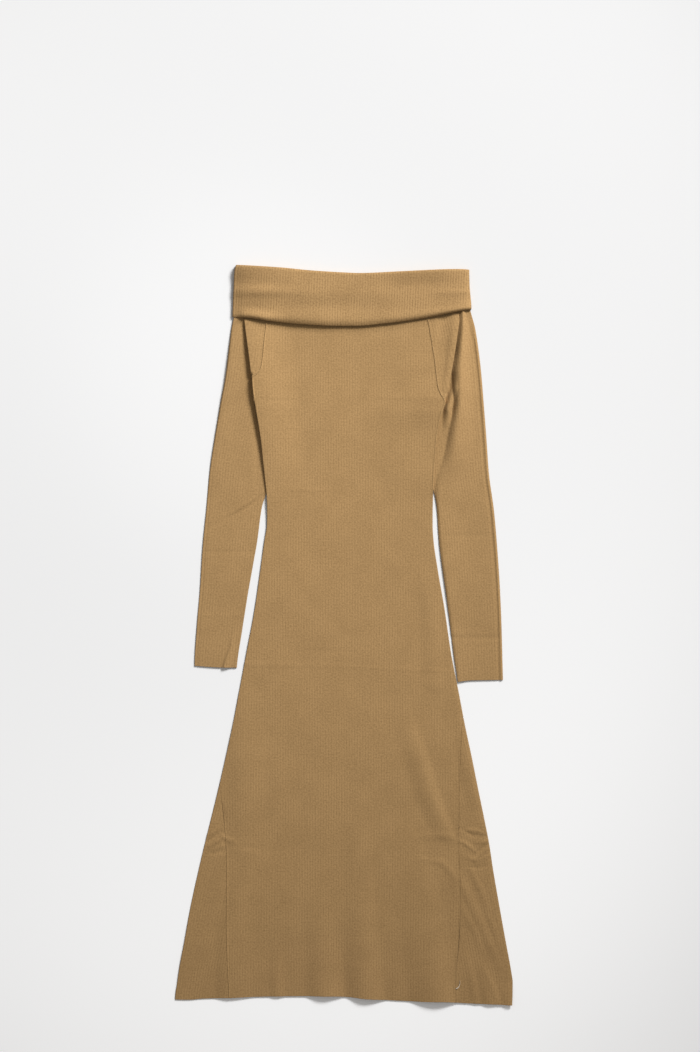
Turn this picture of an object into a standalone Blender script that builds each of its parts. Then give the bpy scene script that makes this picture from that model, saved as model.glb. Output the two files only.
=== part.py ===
"""Off-shoulder sweater dress in fine rib knit, laid flat on its back. Metres, +Z up.

The dress lies on the plane z = 0, with its fold-over collar towards +Y and its hem
towards -Y. Left and right are as seen from above, looking down on the front. The origin
is the middle of the box around the dress, on the surface that it lies on.

Every piece is one wall of cloth, laid as a flattened tube: a front layer, a back layer
and a small round fold at each side. Heights are then added straight up, so layers that
lie on each other keep their distance.
"""
import math
from bisect import bisect_right
from collections import namedtuple

import bmesh
import bpy

MM = 0.001

# ---------------------------------------------------------------- cloth and layers
WALL = 1.4 * MM  # thickness of the knit
LAYER = 2.1 * MM  # from the middle of one layer to the middle of the next
SEAM = 0.3 * MM  # gap between two pieces where they are sewn
FOLD = LAYER / 2  # radius of a side fold, to the middle of the wall
QUARTER = FOLD * math.pi / 2  # length of cloth in a quarter of a side fold

# ---------------------------------------------------------------- named heights along Y
NECK_Y = 545 * MM  # where body and sleeves are sewn to the collar, before it is curved
ARMPIT_Y = 397 * MM  # lower end of the raglan seams
HEM_Y = -615 * MM  # hem, before it is curved
CUFF_Y = {"left": -55 * MM, "right": -77 * MM}
GORE_TOP_Y = {"left": -254 * MM, "right": -138 * MM}  # points of the skirt gores
NOTCH = 4 * MM  # height over which a seam turns into a side fold at the armpit
GORE_TIP = 1.8 * MM  # half the width of a gore's blunt point
TIP_DROP = 1 * MM  # height over which the side seam opens round a gore's point

NECK_OVERLAP = 13 * MM  # how far the turned-down collar covers its own seam
NECK_BLEND = 110 * MM  # length over which rows change from straight to the neck's curve
HEM_BLEND = 110 * MM  # the same for the hem's curve
CUFF_BLEND = 60 * MM  # the same for a cuff's slope

COLLAR_RAMP = 11 * MM  # slope of the dress down from the back of the collar
STEP_WIDTH = 6 * MM  # slope from the body's height down to the sleeve's
PLATEAU_FADE = 32 * MM  # slope from the raised side of the body to its flat middle
SLEEVE_DROP = 18 * MM  # from the armpit down to where the sleeve passes under the body

# ---------------------------------------------------------------- tables, in millimetres
# Distances called left and right are measured outwards from the middle line x = 0.
Sides = namedtuple("Sides", "y left right")

BODY = [  # side edges of the body: armpits, waist, hips, flared skirt
    Sides(397, 152.5, 173.5),
    Sides(380, 149.3, 168.0),
    Sides(365, 146.6, 162.6),
    Sides(330, 140.5, 156.1),
    Sides(296, 136.9, 153.7),
    Sides(262, 133.3, 151.2),
    Sides(237, 130.8, 149.3),
    Sides(205, 129.8, 148.3),
    Sides(186, 130.3, 150.0),
    Sides(161, 134.2, 152.6),
    Sides(114, 140.7, 159.6),
    Sides(45, 150.7, 169.8),
    Sides(-33, 165.3, 181.4),
    Sides(-92, 176.5, 193.0),
    Sides(-151, 187.8, 204.2),
    Sides(-207, 200.0, 216.1),
    Sides(-260, 212.2, 226.7),
    Sides(-308, 224.0, 236.6),
    Sides(-354, 235.4, 245.6),
    Sides(-395, 245.1, 251.8),
    Sides(-460, 259.4, 263.0),
    Sides(-518, 269.7, 273.4),
    Sides(-560, 277.8, 281.2),
    Sides(-588, 281.9, 285.0),
    Sides(-612, 285.0, 284.4),
    Sides(-626, 285.0, 283.8),
]
RAGLAN = [  # raglan seams, from the collar to the armpits
    Sides(565, 127.0, 134.0),
    Sides(529, 131.6, 142.8),
    Sides(484, 135.6, 150.6),
    Sides(451, 141.2, 155.8),
    Sides(426, 147.4, 159.6),
    Sides(397, 150.7, 171.7),
]
SLEEVE_OUTER = [  # outer edges of the sleeves
    Sides(565, 185.3, 212.2),
    Sides(550, 185.8, 213.2),
    Sides(537, 186.2, 216.6),
    Sides(520, 189.6, 221.2),
    Sides(484, 194.4, 227.0),
    Sides(439, 199.8, 232.2),
    Sides(397, 207.6, 235.6),
    Sides(333, 218.2, 240.6),
    Sides(273, 227.0, 244.9),
    Sides(210, 232.6, 253.4),
    Sides(150, 238.4, 258.7),
    Sides(79, 243.1, 263.4),
    Sides(18, 248.1, 266.0),
    Sides(-55, 252.3, 268.0),
    Sides(-77, 252.3, 268.6),
]
SLEEVE_INNER = [  # inner edges: beside the body, under it, then free of it
    Sides(393, 153.6, 174.8),
    Sides(379, 151.1, 170.1),
    Sides(365, 143.0, 162.0),
    Sides(347, 132.5, 151.6),
    Sides(296, 126.5, 145.5),
    Sides(262, 126.0, 145.5),
    Sides(245, 129.5, 150.6),
    Sides(236, 133.8, 153.0),
    Sides(214, 140.4, 155.5),
    Sides(161, 146.8, 162.0),
    Sides(114, 155.1, 168.2),
    Sides(69, 163.2, 173.9),
    Sides(12, 171.5, 180.8),
    Sides(-43, 179.6, 187.2),
    Sides(-55, 180.6, 188.6),
    Sides(-80, 180.6, 192.1),
]
SIDE_STEP = [  # foot of the slope where a sleeve leaves the height of the body
    Sides(550, 173.0, 198.0),
    Sides(434, 160.5, 184.0),
    Sides(397, 157.5, 180.0),
    Sides(379, 156.0, 180.0),
]
SIDE_PLATEAU = [  # inner limit of the strip where the body is at full height
    Sides(550, 122.0, 130.0),
    Sides(484, 129.0, 144.0),
    Sides(426, 140.0, 153.0),
    Sides(397, 143.0, 163.0),
    Sides(347, 128.0, 147.0),
    Sides(296, 121.0, 141.0),
    Sides(237, 121.0, 141.0),
]
SIDE_HEIGHT = [  # hundredths of the full two layers that the side of the body is raised
    Sides(552, 0, 0),
    Sides(528, 55, 5),
    Sides(470, 88, 30),
    Sides(430, 100, 90),
    Sides(397, 100, 100),
    Sides(262, 100, 100),
    Sides(246, 100, 100),
    Sides(232, 85, 60),
    Sides(212, 0, 0),
]
COLLAR_SIDE = [  # ends of the folded collar
    Sides(625, 182.3, 211.5),
    Sides(614, 185.2, 211.7),
    Sides(590, 186.4, 212.3),
    Sides(550, 188.0, 215.4),
    Sides(537, 188.4, 215.4),
]

Across = namedtuple("Across", "x y")

COLLAR_TOP = [  # upper fold of the collar
    Across(-182, 625.0),
    Across(-105, 620.0),
    Across(-57, 615.4),
    Across(2, 611.8),
    Across(26, 610.9),
    Across(94, 613.7),
    Across(197, 617.7),
    Across(212, 617.0),
]
COLLAR_FREE = [  # free lower edge of the turned-down collar
    Across(-188, 537.2),
    Across(-160, 535.4),
    Across(-130, 530.4),
    Across(-94, 526.6),
    Across(-57, 523.7),
    Across(-20, 522.0),
    Across(18, 521.8),
    Across(71, 526.1),
    Across(129, 533.8),
    Across(174, 542.6),
    Across(197, 547.2),
    Across(216, 550.4),
]
HEM = [  # front edge of the hem
    Across(-285, -612.9),
    Across(-243, -613.7),
    Across(-194, -612.2),
    Across(-137, -610.6),
    Across(-86, -609.6),
    Across(10, -611.2),
    Across(64, -615.7),
    Across(137, -618.8),
    Across(214, -621.8),
    Across(284, -625.0),
]
CUFF = {
    "left": [Across(-252, -53.0), Across(-206, -56.0), Across(-181, -55.0)],
    "right": [Across(192, -79.4), Across(214, -77.1), Across(269, -76.4)],
}
GORE_SEAM = {  # distance of a gore's seams from the middle line
    "left": [
        Across(-254, 211.4),
        Across(-268, 207.8),
        Across(-318, 202.0),
        Across(-376, 198.3),
        Across(-489, 198.6),
        Across(-626, 193.6),
    ],
    "right": [
        Across(-138, 201.7),
        Across(-160, 198.6),
        Across(-260, 194.6),
        Across(-361, 193.6),
        Across(-427, 196.6),
        Across(-501, 195.2),
        Across(-593, 188.0),
        Across(-626, 189.2),
    ],
}

Roll = namedtuple("Roll", "above lift")
COLLAR_ROLL = [  # lift of the turned-down collar layer, by distance above its free edge
    Roll(0, 5.0),
    Roll(8, 4.4),
    Roll(20, 1.9),
    Roll(34, 0.5),
    Roll(50, 1.8),
    Roll(70, 0.8),
    Roll(86, 0.0),
]

# A soft ridge from (x1, y1) to (x2, y2): half its width, its height at both ends, and
# the share of the height that the back layer takes.
Ridge = namedtuple("Ridge", "x1 y1 x2 y2 width start end back")
HEM_BACK = 0.65  # share of a hem wave that the back layer follows
HEM_WAVES = [
    Ridge(-226, -620, -226, -570, 20, 2.5, 0.0, HEM_BACK),
    Ridge(-168, -618, -164, -545, 36, 8.8, 0.0, HEM_BACK),
    Ridge(-110, -616, -110, -570, 22, 3.0, 0.0, HEM_BACK),
    Ridge(-28, -616, -26, -540, 40, 8.8, 0.0, HEM_BACK),
    Ridge(42, -618, 40, -550, 36, 7.6, 0.0, HEM_BACK),
    Ridge(180, -626, 176, -550, 46, 8.2, 0.0, HEM_BACK),
    Ridge(246, -628, 244, -580, 22, 3.4, 0.0, HEM_BACK),
    Ridge(284, -630, 276, -575, 26, 6.0, 0.0, 0.8),
]
SKIRT_RIDGES = [
    Ridge(154, -379, 178, -411, 16, 1.5, 2.6, 0),
    Ridge(178, -411, 201, -465, 16, 2.6, 2.4, 0),
    Ridge(201, -465, 231, -523, 15, 2.4, 0.8, 0),
    Ridge(204, -350, 220, -411, 13, 1.2, 2.2, 0),
    Ridge(220, -411, 252, -477, 13, 2.2, 0.8, 0),
    Ridge(147, -175, 150, -251, 20, 0.8, 2.4, 0),
    Ridge(150, -251, 183, -334, 20, 2.4, 1.2, 0),
    Ridge(-160, -190, -160, -350, 18, 1.4, 1.8, 0),
]
SLEEVE_RIDGES = {
    "left": [Ridge(-186, 470, -200, 300, 18, 1.2, 1.8, 0)],
    "right": [
        Ridge(209, 516, 203, 420, 17, 3.2, 4.8, 0.35),
        Ridge(203, 420, 192, 300, 19, 4.8, 4.6, 0.35),
        Ridge(192, 300, 184, 215, 19, 4.6, 0.6, 0.35),
        Ridge(185, 524, 171, 420, 10, 1.6, 1.6, 0),
    ],
}

KNIT_COLOUR = (0.40, 0.262, 0.115, 1.0)
KNIT_ROUGHNESS = 0.9


# ---------------------------------------------------------------- small mathematics
def ease(value):
    """Smooth change from 0 to 1 while value goes from 0 to 1."""
    value = min(max(value, 0.0), 1.0)
    return value * value * (3 - 2 * value)


def mix(a, b, share):
    return a + (b - a) * share


def curve(rows, key, value):
    """Smooth curve through a table, without overshoot and level beyond its ends."""
    points = sorted((getattr(row, key) * MM, getattr(row, value) * MM) for row in rows)
    places = [place for place, _ in points]
    values = [amount for _, amount in points]
    steps = [b - a for a, b in zip(places, places[1:])]
    rates = [(b - a) / step for a, b, step in zip(values, values[1:], steps)]
    slopes = [rates[0]]
    for before, after in zip(rates, rates[1:]):
        turns = before * after <= 0
        slopes.append(0.0 if turns else 2 * before * after / (before + after))
    slopes.append(rates[-1])

    def at(place):
        place = min(max(place, places[0]), places[-1])
        index = min(bisect_right(places, place), len(steps)) - 1
        step = steps[index]
        share = (place - places[index]) / step
        rest = 1 - share
        return (
            values[index] * rest * rest * (1 + 2 * share)
            + values[index + 1] * share * share * (3 - 2 * share)
            + slopes[index] * step * share * rest * rest
            - slopes[index + 1] * step * share * share * rest
        )

    return at


def both_sides(rows):
    return {side: curve(rows, "y", side) for side in ("left", "right")}


body_side = both_sides(BODY)
raglan_side = both_sides(RAGLAN)
sleeve_outer = both_sides(SLEEVE_OUTER)
sleeve_inner = both_sides(SLEEVE_INNER)
step_foot = both_sides(SIDE_STEP)
plateau_limit = both_sides(SIDE_PLATEAU)
side_height = both_sides(SIDE_HEIGHT)
collar_side = both_sides(COLLAR_SIDE)
collar_top = curve(COLLAR_TOP, "x", "y")
collar_free = curve(COLLAR_FREE, "x", "y")
hem_line = curve(HEM, "x", "y")
cuff_line = {side: curve(rows, "x", "y") for side, rows in CUFF.items()}
gore_seam = {side: curve(rows, "x", "y") for side, rows in GORE_SEAM.items()}
collar_roll = curve(COLLAR_ROLL, "above", "lift")

SIGN = {"left": -1, "right": 1}
FULL_HEIGHT = 100 * MM  # side_height's value for the full two layers
SETTLE_ROUNDS = 4  # enough for a point to settle within a hundredth of a millimetre


# ---------------------------------------------------------------- heights
def raised(x, y, on_sleeve):
    """Height of what lies under the lowest layer of body or sleeve at a place."""
    collar_share = ease((y - collar_free(x)) / COLLAR_RAMP + 1.25)
    height = LAYER * collar_share
    for side, sign in SIGN.items():
        out = sign * x
        share = side_height[side](y) / FULL_HEIGHT
        share *= ease((out - plateau_limit[side](y)) / PLATEAU_FADE + 1)
        if on_sleeve:
            share *= ease((step_foot[side](y) - out) / STEP_WIDTH)
            share *= ease((y - ARMPIT_Y + SLEEVE_DROP) / (SLEEVE_DROP - NOTCH))
        height += 2 * LAYER * share
    return height


def ridge_height(ridges, x, y, front_share):
    """Height of the soft ridges at a place, for a layer between back (0) and front (1)."""
    total = 0.0
    for ridge in ridges:
        run_x = (ridge.x2 - ridge.x1) * MM
        run_y = (ridge.y2 - ridge.y1) * MM
        from_x = x - ridge.x1 * MM
        from_y = y - ridge.y1 * MM
        along = (from_x * run_x + from_y * run_y) / (run_x * run_x + run_y * run_y)
        along = min(max(along, 0.0), 1.0)
        off = math.hypot(from_x - along * run_x, from_y - along * run_y)
        off /= ridge.width * MM
        if off < 1:
            crest = mix(ridge.start, ridge.end, along) * MM * (1 - off * off) ** 2
            total += crest * mix(ridge.back, 1.0, front_share)
    return total


# ---------------------------------------------------------------- the flattened tube
def on_tube(arc, width):
    """Follow the cloth from one side edge over the front of a flattened tube.

    Returns the distance from that edge, the height over the tube's middle, and the
    outward direction (across, up).
    """
    flat = width - 2 * FOLD
    if arc < QUARTER:
        turn = arc / FOLD
        return FOLD * (1 - math.cos(turn)), FOLD * math.sin(turn), -math.cos(turn), math.sin(turn)
    if arc <= QUARTER + flat:
        return FOLD + arc - QUARTER, FOLD, 0.0, 1.0
    turn = (arc - QUARTER - flat) / FOLD
    return width - FOLD * (1 - math.sin(turn)), FOLD * math.cos(turn), math.sin(turn), math.cos(turn)


def half_length(width):
    """Length of cloth from side edge to side edge over the front."""
    return width - 2 * FOLD + 2 * QUARTER


def arc_at(distance):
    """Length of cloth from the side edge to a place on the flat, by distance across."""
    return distance - FOLD + QUARTER


def spread(start, end, flat_columns):
    """Places along an arc: two close ones at each end for a side fold, the rest even."""
    bend = min(QUARTER, (end - start) / 4)
    middle = [
        mix(start + bend, end - bend, step / flat_columns) for step in range(flat_columns + 1)
    ]
    return [start, start + bend / 2] + middle + [end - bend / 2, end]


def curved_row(x, y, hem_or_cuff, end_y, blend):
    """Move a straight row up or down, to follow the neck seam and the hem or cuff."""
    neck = collar_free(x) + NECK_OVERLAP - SEAM - NECK_Y
    end = hem_or_cuff(x) - end_y
    return (
        y
        + neck * ease((y - NECK_Y) / NECK_BLEND + 1)
        + end * ease((end_y - y) / blend + 1)
    )


def settle(across, column, straight_y, row_y):
    """Place a grid point across the cloth on its curved row: (across result, y)."""
    y = straight_y
    for _ in range(SETTLE_ROUNDS):
        y = row_y(across(column, y)[0])
    return across(column, y), y


def rows_between(*stops):
    """Row heights from stop to stop, each stop after the first given as (y, rows)."""
    rows = [stops[0]]
    for end, count in stops[1:]:
        start = rows[-1]
        rows += [mix(start, end, step / count) for step in range(1, count + 1)]
    return rows


# ---------------------------------------------------------------- building one wall
def knit_material(name):
    material = bpy.data.materials.new(name)
    material.use_nodes = True
    shader = material.node_tree.nodes["Principled BSDF"]
    shader.inputs["Base Color"].default_value = KNIT_COLOUR
    shader.inputs["Roughness"].default_value = KNIT_ROUGHNESS
    shader.inputs["Metallic"].default_value = 0.0
    return material


def cloth_wall(name, columns, rows, place, parent, closed=False):
    """Make one piece: a grid laid by place(column, row, depth), given its thickness."""
    bm = bmesh.new()
    bmesh.ops.create_grid(bm, x_segments=columns, y_segments=rows, size=0.5)
    grid = bm.verts.layers.float_vector.new("grid")
    for vert in bm.verts:
        column = round((vert.co.x + 0.5) * columns)
        row = round((vert.co.y + 0.5) * rows)
        vert[grid] = (column, row, 0)
    for vert in bm.verts:
        vert.co = place(int(vert[grid].x), int(vert[grid].y), WALL / 2)
    if closed:
        bmesh.ops.remove_doubles(bm, verts=bm.verts[:], dist=0.001 * MM)
    wall = bmesh.ops.extrude_face_region(bm, geom=bm.faces[:])
    for vert in wall["geom"]:
        if isinstance(vert, bmesh.types.BMVert):
            vert.co = place(int(vert[grid].x), int(vert[grid].y), -WALL / 2)
    bmesh.ops.recalc_face_normals(bm, faces=bm.faces[:])
    mesh = bpy.data.meshes.new(name)
    bm.to_mesh(mesh)
    bm.free()
    mesh.shade_smooth()
    mesh.materials.append(knit_material(name + "_knit"))
    piece = bpy.data.objects.new(name, mesh)
    piece.parent = parent
    bpy.context.scene.collection.objects.link(piece)
    return piece


# ---------------------------------------------------------------- front and back
BODY_COLUMNS = 16
BODY_ROWS = rows_between(
    NECK_Y,
    (ARMPIT_Y, 9),
    (ARMPIT_Y - NOTCH, 1),
    (210 * MM, 8),
    (GORE_TOP_Y["right"], 9),
    (GORE_TOP_Y["right"] - TIP_DROP, 1),
    (GORE_TOP_Y["left"], 3),
    (GORE_TOP_Y["left"] - TIP_DROP, 1),
    (HEM_Y + 55 * MM, 8),
    (HEM_Y, 4),
)


def body_edge_arc(side, y):
    """Length of cloth between the body's side edge and the edge of its panels."""
    side_middle = body_side[side](y) - WALL / 2
    if y > ARMPIT_Y - NOTCH / 2:
        return arc_at(side_middle - raglan_side[side](y) + SEAM / 2)
    if y > GORE_TOP_Y[side] - TIP_DROP / 2:
        return SEAM / 2
    return gore_half_width(side, y) + SEAM


def gore_half_width(side, y):
    """Length of cloth from the fold of a gore to its seam, less half the seam gap."""
    side_middle = body_side[side](y) - WALL / 2
    return max(arc_at(side_middle - gore_seam[side](y)) - SEAM / 2, GORE_TIP)


def lay(section, y, depth, on_sleeve, ridges):
    """Put a point of the flattened tube at its real height."""
    x, up, across, lift = section
    front_share = (up / FOLD + 1) / 2
    middle = WALL / 2 + FOLD + raised(x, y, on_sleeve)
    z = middle + up + ridge_height(ridges, x, y, front_share)
    return x + across * depth, y, z + lift * depth


def panel_place(is_front):
    """Placing function of the front or the back panel."""
    layer = 1 if is_front else -1

    def across_body(column, y):
        left = body_side["left"](y) - WALL / 2
        right = body_side["right"](y) - WALL / 2
        width = left + right
        start = body_edge_arc("left", y)
        end = half_length(width) - body_edge_arc("right", y)
        distance, up, across, lift = on_tube(spread(start, end, BODY_COLUMNS)[column], width)
        return distance - left, up * layer, across, lift * layer

    def place(column, row, depth):
        straight_y = BODY_ROWS[row]

        def row_y(x):
            return curved_row(x, straight_y, hem_line, HEM_Y, HEM_BLEND)

        section, y = settle(across_body, column, straight_y, row_y)
        return lay(section, y, depth, False, HEM_WAVES + SKIRT_RIDGES)

    return place


def body_panel(name, is_front, parent):
    columns = len(spread(0, 1, BODY_COLUMNS)) - 1
    return cloth_wall(name, columns, len(BODY_ROWS) - 1, panel_place(is_front), parent)


# ---------------------------------------------------------------- skirt gores
GORE_COLUMNS = 3


def gore(name, side, parent):
    """A triangle of cloth let into the side of the skirt, folded at the side edge."""
    rows = rows_between(
        GORE_TOP_Y[side] - TIP_DROP,
        (GORE_TOP_Y["left"] - 2 * TIP_DROP, 3 if side == "right" else 1),
        (HEM_Y + 55 * MM, 8),
        (HEM_Y, 4),
    )
    sign = SIGN[side]

    def across_gore(column, y):
        half = spread(0, gore_half_width(side, y), GORE_COLUMNS)
        arcs = [-arc for arc in reversed(half)] + half[1:]
        arc = arcs[column]
        width = body_side["left"](y) + body_side["right"](y) - WALL
        distance, up, across, lift = on_tube(abs(arc), width)
        layer = 1 if arc >= 0 else -1
        x = sign * (body_side[side](y) - WALL / 2 - distance)
        return x, up * layer, -sign * across, lift * layer

    def place(column, row, depth):
        def row_y(x):
            return curved_row(x, rows[row], hem_line, HEM_Y, HEM_BLEND)

        section, y = settle(across_gore, column, rows[row], row_y)
        return lay(section, y, depth, False, HEM_WAVES + SKIRT_RIDGES)

    columns = 2 * (len(spread(0, 1, GORE_COLUMNS)) - 1)
    return cloth_wall(name, columns, len(rows) - 1, place, parent)


# ---------------------------------------------------------------- sleeves
SLEEVE_COLUMNS = 6


def sleeve(name, side, parent):
    """A raglan sleeve: open along the body above the armpit, a flat tube below it."""
    rows = rows_between(
        NECK_Y,
        (NECK_Y - NECK_OVERLAP, 1),
        (ARMPIT_Y, 8),
        (ARMPIT_Y - NOTCH, 1),
        (ARMPIT_Y - SLEEVE_DROP, 1),
        (330 * MM, 2),
        (CUFF_Y[side], 12),
    )
    sign = SIGN[side]

    def across_sleeve(column, y):
        outer = sleeve_outer[side](y) - WALL / 2
        if y > ARMPIT_Y - NOTCH / 2:
            width = outer
            end = arc_at(outer - raglan_side[side](y) - SEAM / 2)
        else:
            width = outer - sleeve_inner[side](y) - WALL / 2
            end = half_length(width) - SEAM / 2
        half = spread(0, end, SLEEVE_COLUMNS)
        arcs = list(reversed(half)) + [-arc for arc in half[1:]]
        arc = arcs[column]
        distance, up, across, lift = on_tube(abs(arc), width)
        layer = 1 if arc >= 0 else -1
        return sign * (outer - distance), up * layer, -sign * across, lift * layer

    def place(column, row, depth):
        def row_y(x):
            return curved_row(x, rows[row], cuff_line[side], CUFF_Y[side], CUFF_BLEND)

        section, y = settle(across_sleeve, column, rows[row], row_y)
        return lay(section, y, depth, True, SLEEVE_RIDGES[side])

    columns = 2 * (len(spread(0, 1, SLEEVE_COLUMNS)) - 1)
    return cloth_wall(name, columns, len(rows) - 1, place, parent)


# ---------------------------------------------------------------- collar
COLLAR_COLUMNS = 18
COLLAR_INNER_ROWS = 3
COLLAR_BEND_ROWS = 4
COLLAR_OUTER_ROWS = 8


def collar_profile(row, x):
    """Place and direction across the collar's cloth: (offset, y, turn across, turn along).

    The cloth starts at the neck seam, rises inside, turns over at the top and hangs down
    outside. The offset is the distance outwards from the inner layer.
    """
    free = collar_free(x)
    bend_y = collar_top(x) - WALL / 2 - FOLD
    if row <= COLLAR_INNER_ROWS:
        return 0.0, mix(free + NECK_OVERLAP, bend_y, row / COLLAR_INNER_ROWS), -1.0, 0.0
    row -= COLLAR_INNER_ROWS
    if row <= COLLAR_BEND_ROWS:
        turn = math.pi * row / COLLAR_BEND_ROWS
        return (
            FOLD * (1 - math.cos(turn)),
            bend_y + FOLD * math.sin(turn),
            -math.cos(turn),
            math.sin(turn),
        )
    row -= COLLAR_BEND_ROWS
    return LAYER, mix(bend_y, free, row / COLLAR_OUTER_ROWS), 1.0, 0.0


def collar(name, parent):
    """The fold-over collar: a closed band, doubled over its own seam to the dress."""
    half_columns = len(spread(0, 1, COLLAR_COLUMNS)) - 1

    def across_collar(column, y):
        left = collar_side["left"](y) - WALL / 2 - LAYER
        right = collar_side["right"](y) - WALL / 2 - LAYER
        width = left + right
        arcs = spread(0, half_length(width), COLLAR_COLUMNS)
        over = column <= half_columns
        arc = arcs[column] if over else arcs[2 * half_columns - column]
        distance, up, across, lift = on_tube(arc, width)
        layer = 1 if over else -1
        return distance - left, up * layer, across, lift * layer

    def place(column, row, depth):
        def row_y(x):
            return collar_profile(row, x)[1]

        section, y = settle(across_collar, column, NECK_Y, row_y)
        x, up, across, lift = section
        offset, y, turn_across, turn_along = collar_profile(row, x)
        above = y - collar_free(x)
        front_share = ease(lift)
        roll = collar_roll(above) * front_share * offset / LAYER
        off = offset + turn_across * depth
        middle = WALL / 2 + FOLD + LAYER
        return x + across * off, y + turn_along * depth, middle + up + lift * off + roll

    rows = COLLAR_INNER_ROWS + COLLAR_BEND_ROWS + COLLAR_OUTER_ROWS
    return cloth_wall(name, 2 * half_columns, rows, place, parent, closed=True)


# ---------------------------------------------------------------- the dress
def clear_scene():
    for item in list(bpy.data.objects):
        bpy.data.objects.remove(item, do_unlink=True)


def main():
    clear_scene()
    dress = bpy.data.objects.new("dress", None)
    bpy.context.scene.collection.objects.link(dress)
    collar("collar", dress)
    body_panel("front", True, dress)
    body_panel("back", False, dress)
    for side in SIGN:
        sleeve("sleeve_" + side, side, dress)
        gore("gore_" + side, side, dress)


main()
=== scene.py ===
"""Off-shoulder sweater dress in fine rib knit, laid flat on a pale floor.

Every cut piece of the dress gets a finished shell in place of its plain solid: the same
cut and layers, on a finer grid, with its creases, rolled edges and seams. Lengths are in
metres unless a table says millimetres; +Y is towards the collar, +Z is up.
"""
import math
from collections import namedtuple

import bmesh
import bpy
import numpy as np
from mathutils import Matrix, Vector


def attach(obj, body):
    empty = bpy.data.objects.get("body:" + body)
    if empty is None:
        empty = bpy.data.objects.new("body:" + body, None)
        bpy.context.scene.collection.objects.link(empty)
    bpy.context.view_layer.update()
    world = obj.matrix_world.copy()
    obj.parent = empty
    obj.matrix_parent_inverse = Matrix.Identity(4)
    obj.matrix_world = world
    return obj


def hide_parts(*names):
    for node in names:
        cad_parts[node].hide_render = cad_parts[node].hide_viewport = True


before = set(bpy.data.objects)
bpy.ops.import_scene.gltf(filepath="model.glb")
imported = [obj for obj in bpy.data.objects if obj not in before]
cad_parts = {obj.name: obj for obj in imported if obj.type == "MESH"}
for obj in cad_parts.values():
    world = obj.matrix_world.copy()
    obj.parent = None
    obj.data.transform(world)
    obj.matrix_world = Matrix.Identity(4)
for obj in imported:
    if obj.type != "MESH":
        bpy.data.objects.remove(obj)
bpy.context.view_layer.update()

MM = 0.001

# ---------------------------------------------------------------- cloth and layers
WALL = 0.8 * MM  # thickness of the knit
LAYER = 1.0 * MM  # from the middle of one layer to the middle of the next
SEAM = 0.12 * MM  # gap between two pieces where they are sewn
FOLD = LAYER / 2  # radius of a side fold, to the middle of the wall
QUARTER = FOLD * math.pi / 2  # length of cloth in a quarter of a side fold

# ---------------------------------------------------------------- named heights along Y
NECK_Y = 545 * MM
ARMPIT_Y = 397 * MM
HEM_Y = -615 * MM
CUFF_Y = {"left": -55 * MM, "right": -77 * MM}
GORE_TOP_Y = {"left": -254 * MM, "right": -138 * MM}
NOTCH = 4 * MM  # height over which a seam turns into a side fold at the armpit
GORE_TIP = 1.8 * MM  # half the width of a gore's blunt point
TIP_DROP = 1 * MM  # height over which the side seam opens round a gore's point

NECK_OVERLAP = 13 * MM  # how far the turned-down collar covers its own seam
# heights over which straight rows bend to follow the neck seam, the hem and the cuffs
NECK_BLEND = 110 * MM
HEM_BLEND = 110 * MM
CUFF_BLEND = 60 * MM

COLLAR_RAMP = 11 * MM  # slope of the dress down from the back of the collar
COLLAR_RAMP_LEAD = 1.25  # how many such ramps below the collar's free edge it starts
SIDE_FADE = {"left": 80 * MM, "right": 150 * MM}  # from the lifted sides to the flat middle
SLEEVE_DROP = 8 * MM  # from the armpit down to where the sleeve passes under the body
# share of the height that pressing has taken from the outer side folds, and its reach
PRESS = {"left": 0.12, "right": 0.35}
PRESS_REACH = {"left": 9 * MM, "right": 7 * MM}
SKIRT_PRESS = 100 * MM  # height over which that pressing starts, down from y = 0
SEAM_BEAD = 0.35 * MM  # ridge of the sewn edges beside a seam
SEAM_BEAD_WIDTH = 1.1 * MM
LIP_TURN = 1.7 * MM  # half the length of cloth that goes back under a sleeve's lip
PLUNGE = 13 * MM  # reach of the left sleeve's steep drop beside its lip
LIP_SHIFT = 3.2 * MM  # how far the lip is pushed out and its foot is drawn in

# ---------------------------------------------------------------- tables, in millimetres
# Distances called left and right are measured outwards from the middle line x = 0.
Sides = namedtuple("Sides", "y left right")


def table(kind, *rows):
    """Rows of one kind, from plain tuples."""
    return [kind(*row) for row in rows]


# above the armpit only a line that the raglans stay inside
BODY = table(
    Sides, (560, 178, 200), (440, 166, 188), (415, 156.8, 178), (397, 151.6, 172),
    (380, 148.6, 166.2), (365, 146, 161.9), (330, 140.5, 156.1), (296, 136.9, 153.7),
    (262, 133.3, 151.2), (237, 130.8, 150.4), (205, 129.8, 149.8), (186, 130.3, 149.8),
    (161, 134.2, 151.2), (114, 140.7, 157.9), (45, 150.7, 169.8), (-33, 165.3, 181.4),
    (-92, 176.5, 193), (-151, 187.8, 204.2), (-207, 200, 216.1), (-260, 212.2, 226.7),
    (-308, 224, 236.6), (-354, 235.4, 245.6), (-395, 245.1, 251.8), (-460, 259.4, 263),
    (-518, 269.7, 273.4), (-560, 277.8, 281.2), (-588, 281.9, 285), (-612, 285, 284.4),
    (-626, 285, 283.8),
)
RAGLAN = table(
    Sides, (565, 128, 134), (529, 131, 143.2), (505, 134, 147.6), (484, 136, 151),
    (464, 138, 154), (452, 140.2, 155.4), (443, 145.6, 156.4), (439, 150.2, 156.8),
    (435.5, 154.6, 157.3), (423, 154.2, 158.8), (410, 152.9, 162.6), (397, 151.4, 170),
)
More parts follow.
